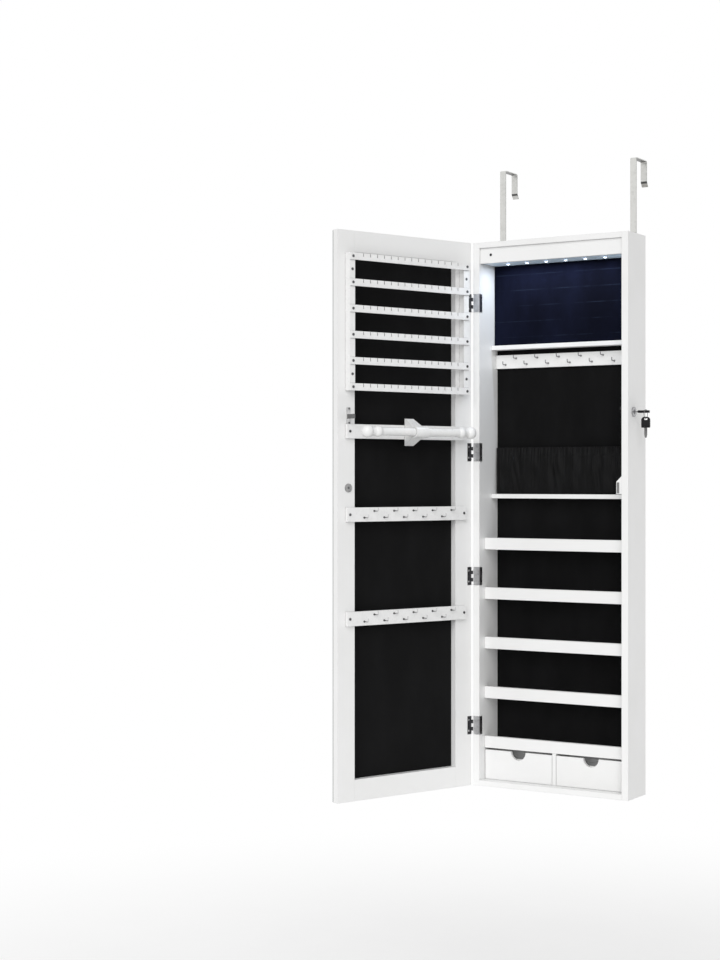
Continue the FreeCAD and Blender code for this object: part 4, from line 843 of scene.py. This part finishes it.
@dataclass(frozen=True)
class LitLacquer(Finish):
    """The soffit's lacquer, with the lamps' light and the shade in its rear corner painted on it."""

    # Colours of the painted lamp light, near the lamps and between them, and of the painted shade in the
    # rear corner
    near: Colour = (0.93, 0.97, 1.0)
    far: Colour = (0.66, 0.80, 0.92)
    painted_corner_shade: Colour = (0.02, 0.03, 0.05)
    gloss: Span = (0.32, 0.44)
    fade: Span = (4.0 * MM, 17.0 * MM)
    reach: float = 14.0 * MM

    def surface(self, graph: Graph) -> Signal:
        """Painted light, bright round each lamp and bluer between them, and painted shade in the rear
        corner.

        Args:
            graph: the material's graph.

        Returns:
            The surface shader.
        """
        glow = graph.mix(LAMPS.distance(graph).step(*self.fade), self.near, self.far)
        peel = graph.noise(PEEL)
        inputs = {
            "Base Color": graph.mix(graph.painted_corner_shade(self.reach), glow, self.painted_corner_shade),
            "Roughness": peel.between(*self.gloss),
            "Normal": graph.bump(peel, PEEL_DEPTH),
        }
        return graph.surface(inputs)


@dataclass(frozen=True)
class FloorPaint(Finish):
    """A pale floor that runs out into the white of the backdrop."""

    colour: Colour = grey(0.95)
    patch: Colour = grey(0.93)
    gloss: Span = (0.7, 0.9)
    fade: Span = (1.0, 3.0)
    veil: float = 0.5
    mottle: Grain = Grain(5.0, 5.0, fade=(0.35, 0.7))
    grain: Grain = Grain(120.0)
    grain_depth: float = 0.2 * MM

    def surface(self, graph: Graph) -> Signal:
        """Fine mottling and shadow under a white veil; farther out the floor gives way to plain white.

        Args:
            graph: the material's graph.

        Returns:
            The surface shader.
        """
        grain = graph.noise(self.grain)
        inputs = {
            "Base Color": graph.mix(graph.mask(self.mottle), self.colour, self.patch),
            "Roughness": grain.between(*self.gloss),
            "Normal": graph.bump(grain, self.grain_depth),
        }
        paint = graph.surface(inputs)
        white = graph.node("ShaderNodeEmission", {}, {"Color": opaque(WHITE), "Strength": 1.0})
        distance = hypotenuse(graph.axis(0), graph.axis(1))
        whiteness = distance.step(*self.fade).between(self.veil, 1.0)
        return graph.node("ShaderNodeMixShader", {}, {0: whiteness, 1: paint, 2: white})


VELVET_DARK = grey(0.0040, 0.0042)
VELVET_BRUSHED = grey(0.0074, 0.0078)

FINISHES: dict[Slot, Finish] = {
    Slot.LACQUER: Coat(),
    Slot.HARDBOARD: Fibreboard(),
    Slot.VELVET: Pile(VELVET_DARK, VELVET_BRUSHED),
    Slot.CLOTH: Satin(),
    Slot.FELT: Pile(grey(0.62, 0.625), grey(0.74, 0.745), 0.1, strokes=nap(60.0), fibres=fuzz(900.0)),
    Slot.MIRROR: Silvering(),
    Slot.PLASTIC: moulding(grey(0.82, 0.815), 0.95, 0.35, (0.22, 0.36)),
    Slot.WIRE: Metal(grey(0.14, 0.145), grey(0.08), (0.3, 0.5)),
    Slot.HINGE: Metal(grey(0.36), grey(0.24), (0.22, 0.4), (1.0, 1.0, 0.15)),
    # Straps: painted shade underneath, and a painted dark reflection at the fold and along the edges
    Slot.STRAP: StripSteel(
        grey(0.63, 0.61), grey(0.55, 0.53), (0.24, 0.38), (1.0, 1.0, 0.05), rim=1.2 * MM, edge_reflection_share=0.8
    ),
    Slot.SCREW: Metal(grey(0.12, 0.125), grey(0.07), (0.3, 0.5)),
    Slot.MAGNET: Metal(grey(0.10), grey(0.06), (0.4, 0.6)),
    Slot.LOCK: Metal(grey(0.24, 0.25), grey(0.14, 0.15), (0.2, 0.35), rim=1.5 * MM),
    Slot.KEY_BOW: moulding(grey(0.006, 0.007), 1.8, 0.5, (0.45, 0.6), 0.14, 0.05 * MM),
    Slot.KEY_BLADE: Metal(grey(0.20), grey(0.11), (0.22, 0.4), (0.1, 1.0, 1.0), rim=1.0 * MM),
    Slot.LENS: Lens(),
    Slot.SENSOR: moulding(grey(0.010, 0.014), 1.6, 0.8, (0.08, 0.16)),
    Slot.CIRCUIT: moulding((0.02, 0.10, 0.05), 0.7, 0.8, (0.3, 0.5)),
    Slot.BATTERY: moulding(grey(0.035, 0.037), 1.3, 0.8, (0.4, 0.55)),
}

# Distances from the door's face between which the painted light on its hooks turns from dark to bright
HOOK_LIGHT_FADE: Span = (9.0 * MM, 21.0 * MM)

# Finishes of single nodes that differ from their slot's: hinges, lit soffit, hooks, lock, strike and catch;
# the hinges, the soffit, the hooks and the strike carry painted light
NODE_FINISHES: dict[str, Finish] = {
    # The hinge steel in lit and shaded copies: cabinet leaves painted light, door leaves painted dark as a
    # reflection with a painted highlight on their edges, screws painted bright as glints
    "hinge_cabinet_leaves": HingeSteel(grey(0.66, 0.67), grey(0.44, 0.45), (0.22, 0.4)),
    "hinge_door_leaves": Metal(grey(0.07, 0.075), grey(0.03), (0.2, 0.4), edge_reflection_colour=grey(0.3)),
    "hinge_door_screws": Metal(grey(0.78, 0.77), grey(0.6), (0.15, 0.3)),
    "hinge_cabinet_screws": Metal(grey(0.70), grey(0.5), (0.15, 0.3)),
    "light_soffit": LitLacquer(),
    # The hooks: painted shade at the root and a painted highlight towards the tip
    "door_hooks": DoorSteel(
        grey(0.10), grey(0.06), (0.3, 0.5), edge_reflection_share=0.2, tip_painted_light=grey(0.60), tip_light_fade=HOOK_LIGHT_FADE
    ),
    "necklace_hooks": Metal(grey(0.30, 0.305), grey(0.20), (0.3, 0.5), edge_reflection_share=0.3),
    # The strike: its plate painted light and its tab painted dark, as reflections
    "lock_strike": DoorSteel(grey(0.62), grey(0.44), (0.25, 0.45), rim=0.8 * MM),
    "lock_barrel": Metal(grey(0.42, 0.43), grey(0.28, 0.29), (0.2, 0.35), rim=1.0 * MM),
    "lock_plug": Metal(grey(0.13, 0.14), grey(0.07, 0.08), (0.2, 0.35)),
    "lock_nut": Metal(grey(0.05), grey(0.03), (0.35, 0.55)),
    "lock_cam": Metal(grey(0.06), grey(0.03), (0.35, 0.55)),
    "catch_plate": Metal(grey(0.38), grey(0.24), (0.25, 0.45), rim=1.2 * MM),
    "catch_magnet": Metal(grey(0.22), grey(0.15), (0.35, 0.55)),
}

# The back lining is bare behind the drawers; the border lies behind the lowest rack's board
BACK_VELVET = Pile(VELVET_DARK, VELVET_BRUSHED, bare_level=86.0 * MM)
# The door's velvet: the same velvet painted a little lighter, as painted light for the light that falls on
# the door
DOOR_VELVET = Pile(grey(0.0054, 0.0056), grey(0.0082, 0.0086))
# The lining under the lamps: the black velvet painted navy, its pressed lines and sheen tinted blue, as
# painted light of the lamps' glow
LIT_VELVET = Pile(
    (0.0008, 0.0012, 0.0046),
    (0.0042, 0.0060, 0.0185),
    sheen=0.02,
    sheen_tint=(0.55, 0.68, 1.0),
    strokes=nap(9.0),
    line=(0.0095, 0.0135, 0.026),
    line_pitch=34.6 * MM,
    line_level=1097.7 * MM,
)


class Palette:
    """Makes each finish's material once."""

    def __init__(self) -> None:
        """Starts with no materials."""
        self.made: dict[str, bpy.types.Material] = {}

    def material(self, name: str, finish: Finish) -> bpy.types.Material:
        """Finds a material, or makes it on first use.

        Args:
            name: the material's name.
            finish: how it looks.

        Returns:
            The material.
        """
        if name not in self.made:
            self.made[name] = finish.material(name)
        return self.made[name]

    def slot(self, slot: Slot) -> bpy.types.Material:
        """The material of a record slot."""
        return self.material(f"look_{slot.value}", FINISHES[slot])

    def dress_frame(self) -> None:
        """Gives every CAD node its own finish or that of its record slot."""
        for name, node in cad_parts.items():
            own = NODE_FINISHES.get(name)
            for holder in node.material_slots:
                slot = Slot(holder.material.name.split(".")[0])
                holder.material = self.material(f"look_{name}", own) if own else self.slot(slot)
            log.info("dressed %s", name)


def grid_faces(rows: int, columns: int, ring: bool) -> Array:
    """Quads of a grid of points.

    Args:
        rows: number of rows.
        columns: points in a row.
        ring: whether the last column joins the first.

    Returns:
        An array of four point numbers for each quad.
    """
    index = np.arange(rows * columns).reshape(rows, columns)
    if ring:
        index = np.concatenate([index, index[:, :1]], axis=1)
    corners = (index[:-1, :-1], index[:-1, 1:], index[1:, 1:], index[1:, :-1])
    return np.stack([corner.ravel() for corner in corners], axis=1)


def join_doubles(mesh: bpy.types.Mesh) -> None:
    """Joins points that lie on each other, so that rings which end in a line are closed there.

    Args:
        mesh: the mesh to mend.
    """
    shell = bmesh.new()
    shell.from_mesh(mesh)
    bmesh.ops.remove_doubles(shell, verts=shell.verts, dist=SAME_PLACE)
    shell.to_mesh(mesh)
    shell.free()


def surface_piece(name: str, points: Array, ring: bool = False, flip: bool = False) -> bpy.types.Object:
    """A smooth mesh object from a grid of points.

    Args:
        name: the object's name.
        points: rows x columns x 3, in metres.
        ring: whether each row closes on itself.
        flip: whether the faces are turned over.

    Returns:
        The object, linked to the scene.
    """
    rows, columns = points.shape[:2]
    faces = grid_faces(rows, columns, ring)
    if flip:
        faces = faces[:, ::-1]
    mesh = bpy.data.meshes.new(name)
    mesh.from_pydata(points.reshape(-1, 3), [], faces)
    if ring:
        join_doubles(mesh)
    mesh.polygons.foreach_set("use_smooth", np.ones(len(mesh.polygons), dtype=bool))
    mesh.update()
    made = bpy.data.objects.new(name, mesh)
    bpy.context.scene.collection.objects.link(made)
    return made


def spread(span: Span, margin: float, steps: int) -> Array:
    """Positions along a span, close together within a margin of both ends.

    Args:
        span: low and high end.
        margin: length of the close part.
        steps: positions between the margins.

    Returns:
        The positions in rising order.
    """
    close = margin * (1.0 - np.cos(np.linspace(0.0, math.pi / 2, EDGE_ROWS)))
    middle = np.linspace(span[0] + margin, span[1] - margin, steps)
    return np.concatenate([span[0] + close[:-1], middle, (span[1] - close[:-1])[::-1]])


@dataclass
class VelvetSkin:
    """Velvet stretched over a lining board and turned round its edges."""

    name: str
    node: str
    across: Span
    up: Span
    face: float
    board: float
    on: str
    finish: Finish
    door: DoorPlane | None = None
    edge_round: float = 1.6 * MM
    lump: float = 0.12 * MM
    columns: int = 60
    rows: int = 140
    near_waves: Span = (61.0, 47.0)
    far_waves: Span = (23.0, 31.0)
    far_share: float = 0.6
    starts: Span = (0.6, 1.9)

    def depth(self, u: Array, w: Array) -> Array:
        """How far the velvet lies behind its highest level.

        Near each edge it falls back along a quarter ellipse to the board's rear. Two crossing sine waves
        and a slanting third stand for the wadding below, and die out towards the edges.

        Args:
            u: places across.
            w: places up.

        Returns:
            The depth at each place.
        """
        across = np.minimum(u - self.across[0], self.across[1] - u)
        to_edge = np.minimum(across, np.minimum(w - self.up[0], self.up[1] - w))
        share = 1.0 - np.clip(to_edge / self.edge_round, 0.0, 1.0)
        fall = self.board * (1.0 - np.sqrt(1.0 - share**2))
        near = np.sin(u * self.near_waves[0] + self.starts[0]) * np.sin(w * self.near_waves[1])
        far = np.sin(u * self.far_waves[0] + w * self.far_waves[1] + self.starts[1])
        waves = (near + self.far_share * far) / (1.0 + self.far_share)
        return fall + self.lump * (1.0 + waves) / 2 * (1.0 - share)

    def build(self, palette: Palette) -> bpy.types.Object:
        """Args:
            palette: where the velvet's material comes from.

        Returns:
            The finished piece.
        """
        wide = spread(self.across, self.edge_round, self.columns)
        high = spread(self.up, self.edge_round, self.rows)
        u, w = np.meshgrid(wide, high)
        depth = self.depth(u, w)
        if self.door is None:
            points = np.stack([u, self.face + depth, w], axis=-1)
        else:
            points = self.door.world(u, self.face - depth, w)
        piece = surface_piece(self.name, points, flip=self.door is not None)
        piece.data.materials.append(palette.material(f"look_{self.name}", self.finish))
        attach(piece, (Body.CABINET if self.door is None else Body.DOOR).value)
        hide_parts(self.node)
        return piece


@dataclass(frozen=True)
class Wave:
    """A sine over a cloth's width: its turns, its size and where it starts."""

    turns: float
    size: float
    start: float = 0.0

    def at(self, phase: Array) -> Array:
        """The sine at each phase."""
        return self.size * np.sin(self.turns * phase + self.start)


def rising(least: float, share: Array) -> Array:
    """A factor that rises from least at share 0 to 1 at share 1."""
    return least + (1.0 - least) * share


@dataclass(frozen=True)
class Folds:
    """Folds in a cloth: their number, their depth and its least share, a power by which they deepen, and
    how much of the cloth's unevenness they take."""

    count: float
    depth: float
    least: float
    power: float
    uneven: float

    def at(self, phase: Array, uneven: Array, share: Array) -> Array:
        """The folds' depth: a sine of the uneven phase that deepens with a power of the share."""
        wave = np.sin(self.count * phase + self.uneven * uneven)
        return self.depth * wave * rising(self.least, share**self.power)


@dataclass
class Pouch:
    """The gathered cloth pouch with an elastic casing along its top."""

    half_width: float = 169.6 * MM
    foot: float = 644.9 * MM
    height: float = 103.0 * MM
    line: float = -20.0 * MM
    back: float = -7.4 * MM
    belly: float = 3.2 * MM
    casing: float = 19.0 * MM
    hem_round: float = 0.9 * MM
    end_bend: float = 16.0 * MM
    end_depth: float = 12.5 * MM
    tuck_height: float = 5.0 * MM
    tuck_depth: float = 2.0 * MM
    seam_width: float = 2.2 * MM
    seam_pull: float = 0.7
    unevenness: tuple[Wave, Wave] = (Wave(3.0, 1.3, 0.7), Wave(7.0, 0.8, 2.1))
    left_share: float = 0.45
    broad: Folds = Folds(9.0, 2.6 * MM, 0.35, 0.8, 1.0)
    fine: Folds = Folds(46.0, 1.1 * MM, 0.12, 6.0, 2.1)
    fine_sway: Wave = Wave(18.0, 1.1 / 46.0)
    wrinkles: Folds = Folds(9.0, 1.4 * MM, 0.0, 2.0, 1.7)
    wrinkle_slant: float = 2.0 / 3.0
    foot_drift: Wave = Wave(5.0, 0.9 * MM, 0.4)
    columns: int = 900
    low_rows: int = 30
    top_rows: int = 24
    top_span: Span = (0.86, 0.865)
    hem_rows: int = 9
    back_rows: int = 7

    def profile(self) -> tuple[Array, Array]:
        """The rows from the foot up, over the top edge and down behind the casing.

        Returns:
            The height of each row above the foot, and how far it lies behind the front.
        """
        low = np.linspace(0.0, self.top_span[0], self.low_rows)
        top = np.linspace(self.top_span[1], 1.0, self.top_rows)
        front = np.concatenate([low, top]) * self.height
        turn = np.linspace(0.0, math.pi, self.hem_rows)[1:]
        down = np.linspace(0.0, self.casing, self.back_rows)[1:]
        over = self.height + self.hem_round * np.sin(turn)
        level = np.concatenate([front, over, self.height - down]) - self.hem_round
        rounding = self.hem_round * (1.0 - np.cos(turn))
        behind = np.full(len(down), 2 * self.hem_round)
        return level, np.concatenate([np.zeros(len(front)), rounding, behind])

    def relief(self, x: Array, z: Array) -> Array:
        """Folds, gathers and wrinkles.

        Broad folds are deepest at half height and fuller to the right; fine gathers are deepest at the top.
        Both are sines of the place across with an uneven phase. The elastic's seam pulls them flat in a
        line below the top. Slanting wrinkles cross the belly.

        Args:
            x: places across.
            z: heights above the foot.

        Returns:
            How far each place lies behind the smooth front.
        """
        share = np.clip(z / self.height, 0.0, 1.0)
        arch = np.sin(math.pi * share)
        phase = x / self.half_width * math.pi
        uneven = self.unevenness[0].at(phase) + self.unevenness[1].at(phase)
        fuller = rising(self.left_share, np.clip(0.5 + x / self.half_width, 0.0, 1.0))
        broad = self.broad.at(phase, uneven, arch) * fuller
        fine = self.fine.at(phase + self.fine_sway.at(phase), uneven, share)
        from_seam = (z - self.height + self.casing) / self.seam_width
        pull = 1.0 - self.seam_pull * np.exp(-(from_seam**2))
        return (broad + fine) * pull + self.wrinkles.at(phase + self.wrinkle_slant * share, uneven, arch)

    def build(self, palette: Palette) -> bpy.types.Object:
        """The front bellies out in a sine over its height, both ends bend back to the lining along a quarter
        ellipse, and the foot is tucked in and drifts sideways.

        Args:
            palette: where the cloth's material comes from.

        Returns:
            The finished piece.
        """
        level, inward = self.profile()
        x, z = np.meshgrid(np.linspace(-self.half_width, self.half_width, self.columns), level)
        share = np.clip(z / self.height, 0.0, 1.0)
        to_end = np.clip((self.half_width - np.abs(x)) / self.end_bend, 0.0, 1.0)
        ends = self.end_depth * (1.0 - np.sqrt(1.0 - (1.0 - to_end) ** 2))
        tuck = self.tuck_depth * np.clip(1.0 - z / self.tuck_height, 0.0, 1.0) ** 2
        bellied = self.belly * np.sin(math.pi * share) * to_end
        front = self.line - bellied + self.relief(x, z) * np.sqrt(to_end)
        y = np.minimum(front + inward[:, None] + tuck + ends, self.back)
        drift = (1.0 - share) * self.foot_drift.at(x / self.half_width * math.pi)
        across = np.clip(x + drift, -self.half_width, self.half_width)
        points = np.stack([across, y, np.maximum(self.foot + z, self.foot)], axis=-1)
        piece = surface_piece("pouch_cloth", points)
        piece.data.materials.append(palette.slot(Slot.CLOTH))
        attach(piece, Body.CABINET.value)
        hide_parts("necklace_pouch")
        return piece


@dataclass
class DrawerFelt:
    """The felt that is folded into a drawer's box."""

    node: str
    body: Body
    thickness: float = 0.9 * MM
    corner: float = 3.0 * MM
    corner_most: float = 0.99
    corner_points: int = 6
    foot_round: float = 4.0 * MM
    arc_rows: int = 8
    floor_rows: int = 14
    ripple: float = 0.15 * MM
    ripple_waves: Span = (210.0, 330.0)

    def build(self, palette: Palette) -> bpy.types.Object:
        """Each row is a rounded rectangle. The rows run over the rim, down the walls, round the foot and in
        to a line along the middle of the floor, where they close. Two crossing sine waves ripple the felt.

        Args:
            palette: where the felt's material comes from.

        Returns:
            The finished piece.
        """
        low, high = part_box(self.node)
        half_x = (high.x - low.x) / 2
        half_y = (high.y - low.y) / 2
        half_thick = self.thickness / 2
        floor = low.z + self.thickness
        arc = np.linspace(0.0, math.pi / 2, self.arc_rows)
        foot = self.thickness + self.foot_round * (1.0 - np.cos(arc))
        middle = np.linspace(self.thickness + self.foot_round, half_y, self.floor_rows)[1:]
        inset = np.concatenate([half_thick * (1.0 - np.cos(2 * arc)), foot, middle])
        rim_level = high.z - half_thick + half_thick * np.sin(2 * arc)
        foot_level = floor + self.foot_round * (1.0 - np.sin(arc))
        level = np.concatenate([rim_level, foot_level, np.full(len(middle), floor)])
        points = self.loops(half_x - inset, half_y - inset, level)
        across = np.sin(points[..., 0] * self.ripple_waves[0])
        points[..., 2] += self.ripple * across * np.sin(points[..., 1] * self.ripple_waves[1])
        points += np.array([(low.x + high.x) / 2, (low.y + high.y) / 2, 0.0])
        points = np.clip(points, np.array(low), np.array(high))
        piece = surface_piece(f"{self.body.value}_lining", points, ring=True)
        piece.data.materials.append(palette.slot(Slot.FELT))
        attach(piece, self.body.value)
        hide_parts(self.node)
        return piece

    def loops(self, half_x: Array, half_y: Array, level: Array) -> Array:
        """Rounded rectangles.

        Args:
            half_x: half length of each rectangle.
            half_y: half width of each rectangle.
            level: height of each rectangle.

        Returns:
            rows x points x 3.
        """
        turn = np.linspace(0.0, math.pi / 2, self.corner_points)
        quarter = np.stack([np.cos(turn), np.sin(turn)], axis=-1)
        signs = np.array([(1, 1), (-1, 1), (-1, -1), (1, -1)], dtype=float)
        rounds = np.minimum(self.corner, np.minimum(half_x, half_y) * self.corner_most)[:, None]
        sides = []
        for number, sign in enumerate(signs):
            bend = quarter if number % 2 == 0 else quarter[::-1]
            x = sign[0] * ((half_x[:, None] - rounds) + rounds * bend[None, :, 0])
            y = sign[1] * ((half_y[:, None] - rounds) + rounds * bend[None, :, 1])
            sides.append(np.stack([x, y, np.broadcast_to(level[:, None], x.shape)], axis=-1))
        return np.concatenate(sides, axis=1)


@dataclass
class LampRow:
    """The light that the six lamps throw down."""

    grid: LampGrid = LAMPS
    drop: float = 1.1 * MM
    power: float = 0.068
    colour: Colour = (0.78, 0.87, 1.0)
    size: float = 8.0 * MM

    def build(self) -> None:
        """Hangs one small disk lamp below each lens."""
        middle = (self.grid.count - 1) / 2
        for number in range(self.grid.count):
            lamp = bpy.data.lights.new(f"lamp_{number + 1}", "AREA")
            lamp.shape = "DISK"
            lamp.size = self.size
            lamp.energy = self.power
            lamp.color = self.colour
            holder = bpy.data.objects.new(lamp.name, lamp)
            across = (number - middle) * self.grid.pitch
            holder.location = (across, self.grid.line, self.grid.foot - self.drop)
            bpy.context.scene.collection.objects.link(holder)


@dataclass
class Studio:
    """Floor, soft light, white surroundings and the camera."""

    floor_level: float = -0.66
    floor_half: float = 4.0
    floor_points: int = 9
    ambient: float = 0.53
    sun_strength: float = 1.78
    sun_spread: float = math.radians(50.0)
    sun_from: Triple = (0.31, -0.83, 0.465)
    eye: Triple = (1.7041, -3.5620, 0.6756)
    look: Triple = (-0.5330, 0.8461, 0.0)
    lens: float = 66.75
    sensor: float = 36.0
    sight: float = 50.0

    def build(self, palette: Palette) -> None:
        """Puts everything round the object in place.

        Args:
            palette: where the floor's material comes from.
        """
        self.floor(palette)
        self.sun()
        self.surroundings()
        self.camera()
        bpy.context.scene.view_settings.view_transform = "Standard"

    def floor(self, palette: Palette) -> None:
        """Lays a pale floor below the hanging cabinet.

        Args:
            palette: where the floor's material comes from.
        """
        ends = np.linspace(-self.floor_half, self.floor_half, self.floor_points)
        x, y = np.meshgrid(ends, ends)
        points = np.stack([x, y, np.full(x.shape, self.floor_level)], axis=-1)
        piece = surface_piece("floor", points)
        piece.data.materials.append(palette.material("look_floor", FloorPaint()))

    def sun(self) -> None:
        """One broad soft light from the front, above and a little to the right."""
        light = bpy.data.lights.new("soft_key", "SUN")
        light.energy = self.sun_strength
        light.angle = self.sun_spread
        holder = bpy.data.objects.new("soft_key", light)
        holder.rotation_mode = "QUATERNION"
        holder.rotation_quaternion = Vector(self.sun_from).to_track_quat("Z", "Y")
        bpy.context.scene.collection.objects.link(holder)

    def surroundings(self) -> None:
        """White to the eye and in reflections, and a plain level of ambient light."""
        world = bpy.data.worlds.new("surroundings")
        world.use_nodes = True
        bpy.context.scene.world = world
        graph = Graph(world.node_tree)
        white = opaque(WHITE)
        dim = graph.node("ShaderNodeBackground", {}, {"Color": white, "Strength": self.ambient})
        full = graph.node("ShaderNodeBackground", {}, {"Color": white, "Strength": 1.0})
        seen = graph.node("ShaderNodeLightPath", {}, {}, "Is Camera Ray")
        glossy = graph.node("ShaderNodeLightPath", {}, {}, "Is Glossy Ray")
        light = graph.node("ShaderNodeMixShader", {}, {0: seen.largest(glossy), 1: dim, 2: full})
        graph.close("ShaderNodeOutputWorld", light)

    def camera(self) -> None:
        """The photo's camera, level and a little above the cabinet's middle."""
        data = bpy.data.cameras.new("camera")
        data.sensor_fit = "VERTICAL"
        data.sensor_height = self.sensor
        data.lens = self.lens
        data.clip_end = self.sight
        holder = bpy.data.objects.new("camera", data)
        holder.location = self.eye
        holder.rotation_mode = "QUATERNION"
        holder.rotation_quaternion = Vector(self.look).to_track_quat("-Z", "Y")
        bpy.context.scene.collection.objects.link(holder)
        bpy.context.scene.camera = holder


@dataclass
class Cabinet:
    """The whole cabinet's looks."""

    palette: Palette
    door_face: float = -14.6 * MM
    door_board: float = 1.4 * MM

    def build(self) -> None:
        """Dresses the CAD nodes, makes the cloth pieces and hangs the lamps."""
        self.palette.dress_frame()
        skins = [
            self.skin("back_velvet", "back_lining", "back_board", BACK_VELVET),
            self.skin("lit_velvet", "upper_lining_panel", "hanging_rail", LIT_VELVET),
            self.skin("door_velvet", "door_lining", "mirror_glass", DOOR_VELVET, DOOR),
        ]
        felts = [
            DrawerFelt("drawer_left_felt", Body.DRAWER_LEFT),
            DrawerFelt("drawer_right_felt", Body.DRAWER_RIGHT),
        ]
        for maker in [*skins, Pouch(), *felts]:
            piece = maker.build(self.palette)
            log.info("made %s with %d faces", piece.name, len(piece.data.polygons))
        LampRow().build()

    def skin(
        self, name: str, node: str, on: str, finish: Finish, door: DoorPlane | None = None
    ) -> VelvetSkin:
        """A velvet lining, placed by the CAD node that it replaces.

        Args:
            name: the piece's name.
            node: the CAD node that it replaces.
            on: the CAD node that it lies on.
            finish: how it looks.
            door: the door's directions, for a lining on the door.

        Returns:
            The lining, not built yet.
        """
        low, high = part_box(node)
        up = (low.z, high.z)
        if door is None:
            return VelvetSkin(name, node, (low.x, high.x), up, low.y, high.y - low.y, on, finish)
        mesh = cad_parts[node].data
        points = np.empty(len(mesh.vertices) * 3)
        mesh.vertices.foreach_get("co", points)
        along = door.along(points[0::3], points[1::3])
        ends = (float(along.min()), float(along.max()))
        return VelvetSkin(name, node, ends, up, self.door_face, self.door_board, on, finish, door)


def main() -> None:
    """Builds the looks and the studio."""
    logging.basicConfig(level=logging.INFO)
    palette = Palette()
    Cabinet(palette).build()
    Studio().build(palette)
    log.info("scene is ready")


if __name__ == "__main__":
    main()
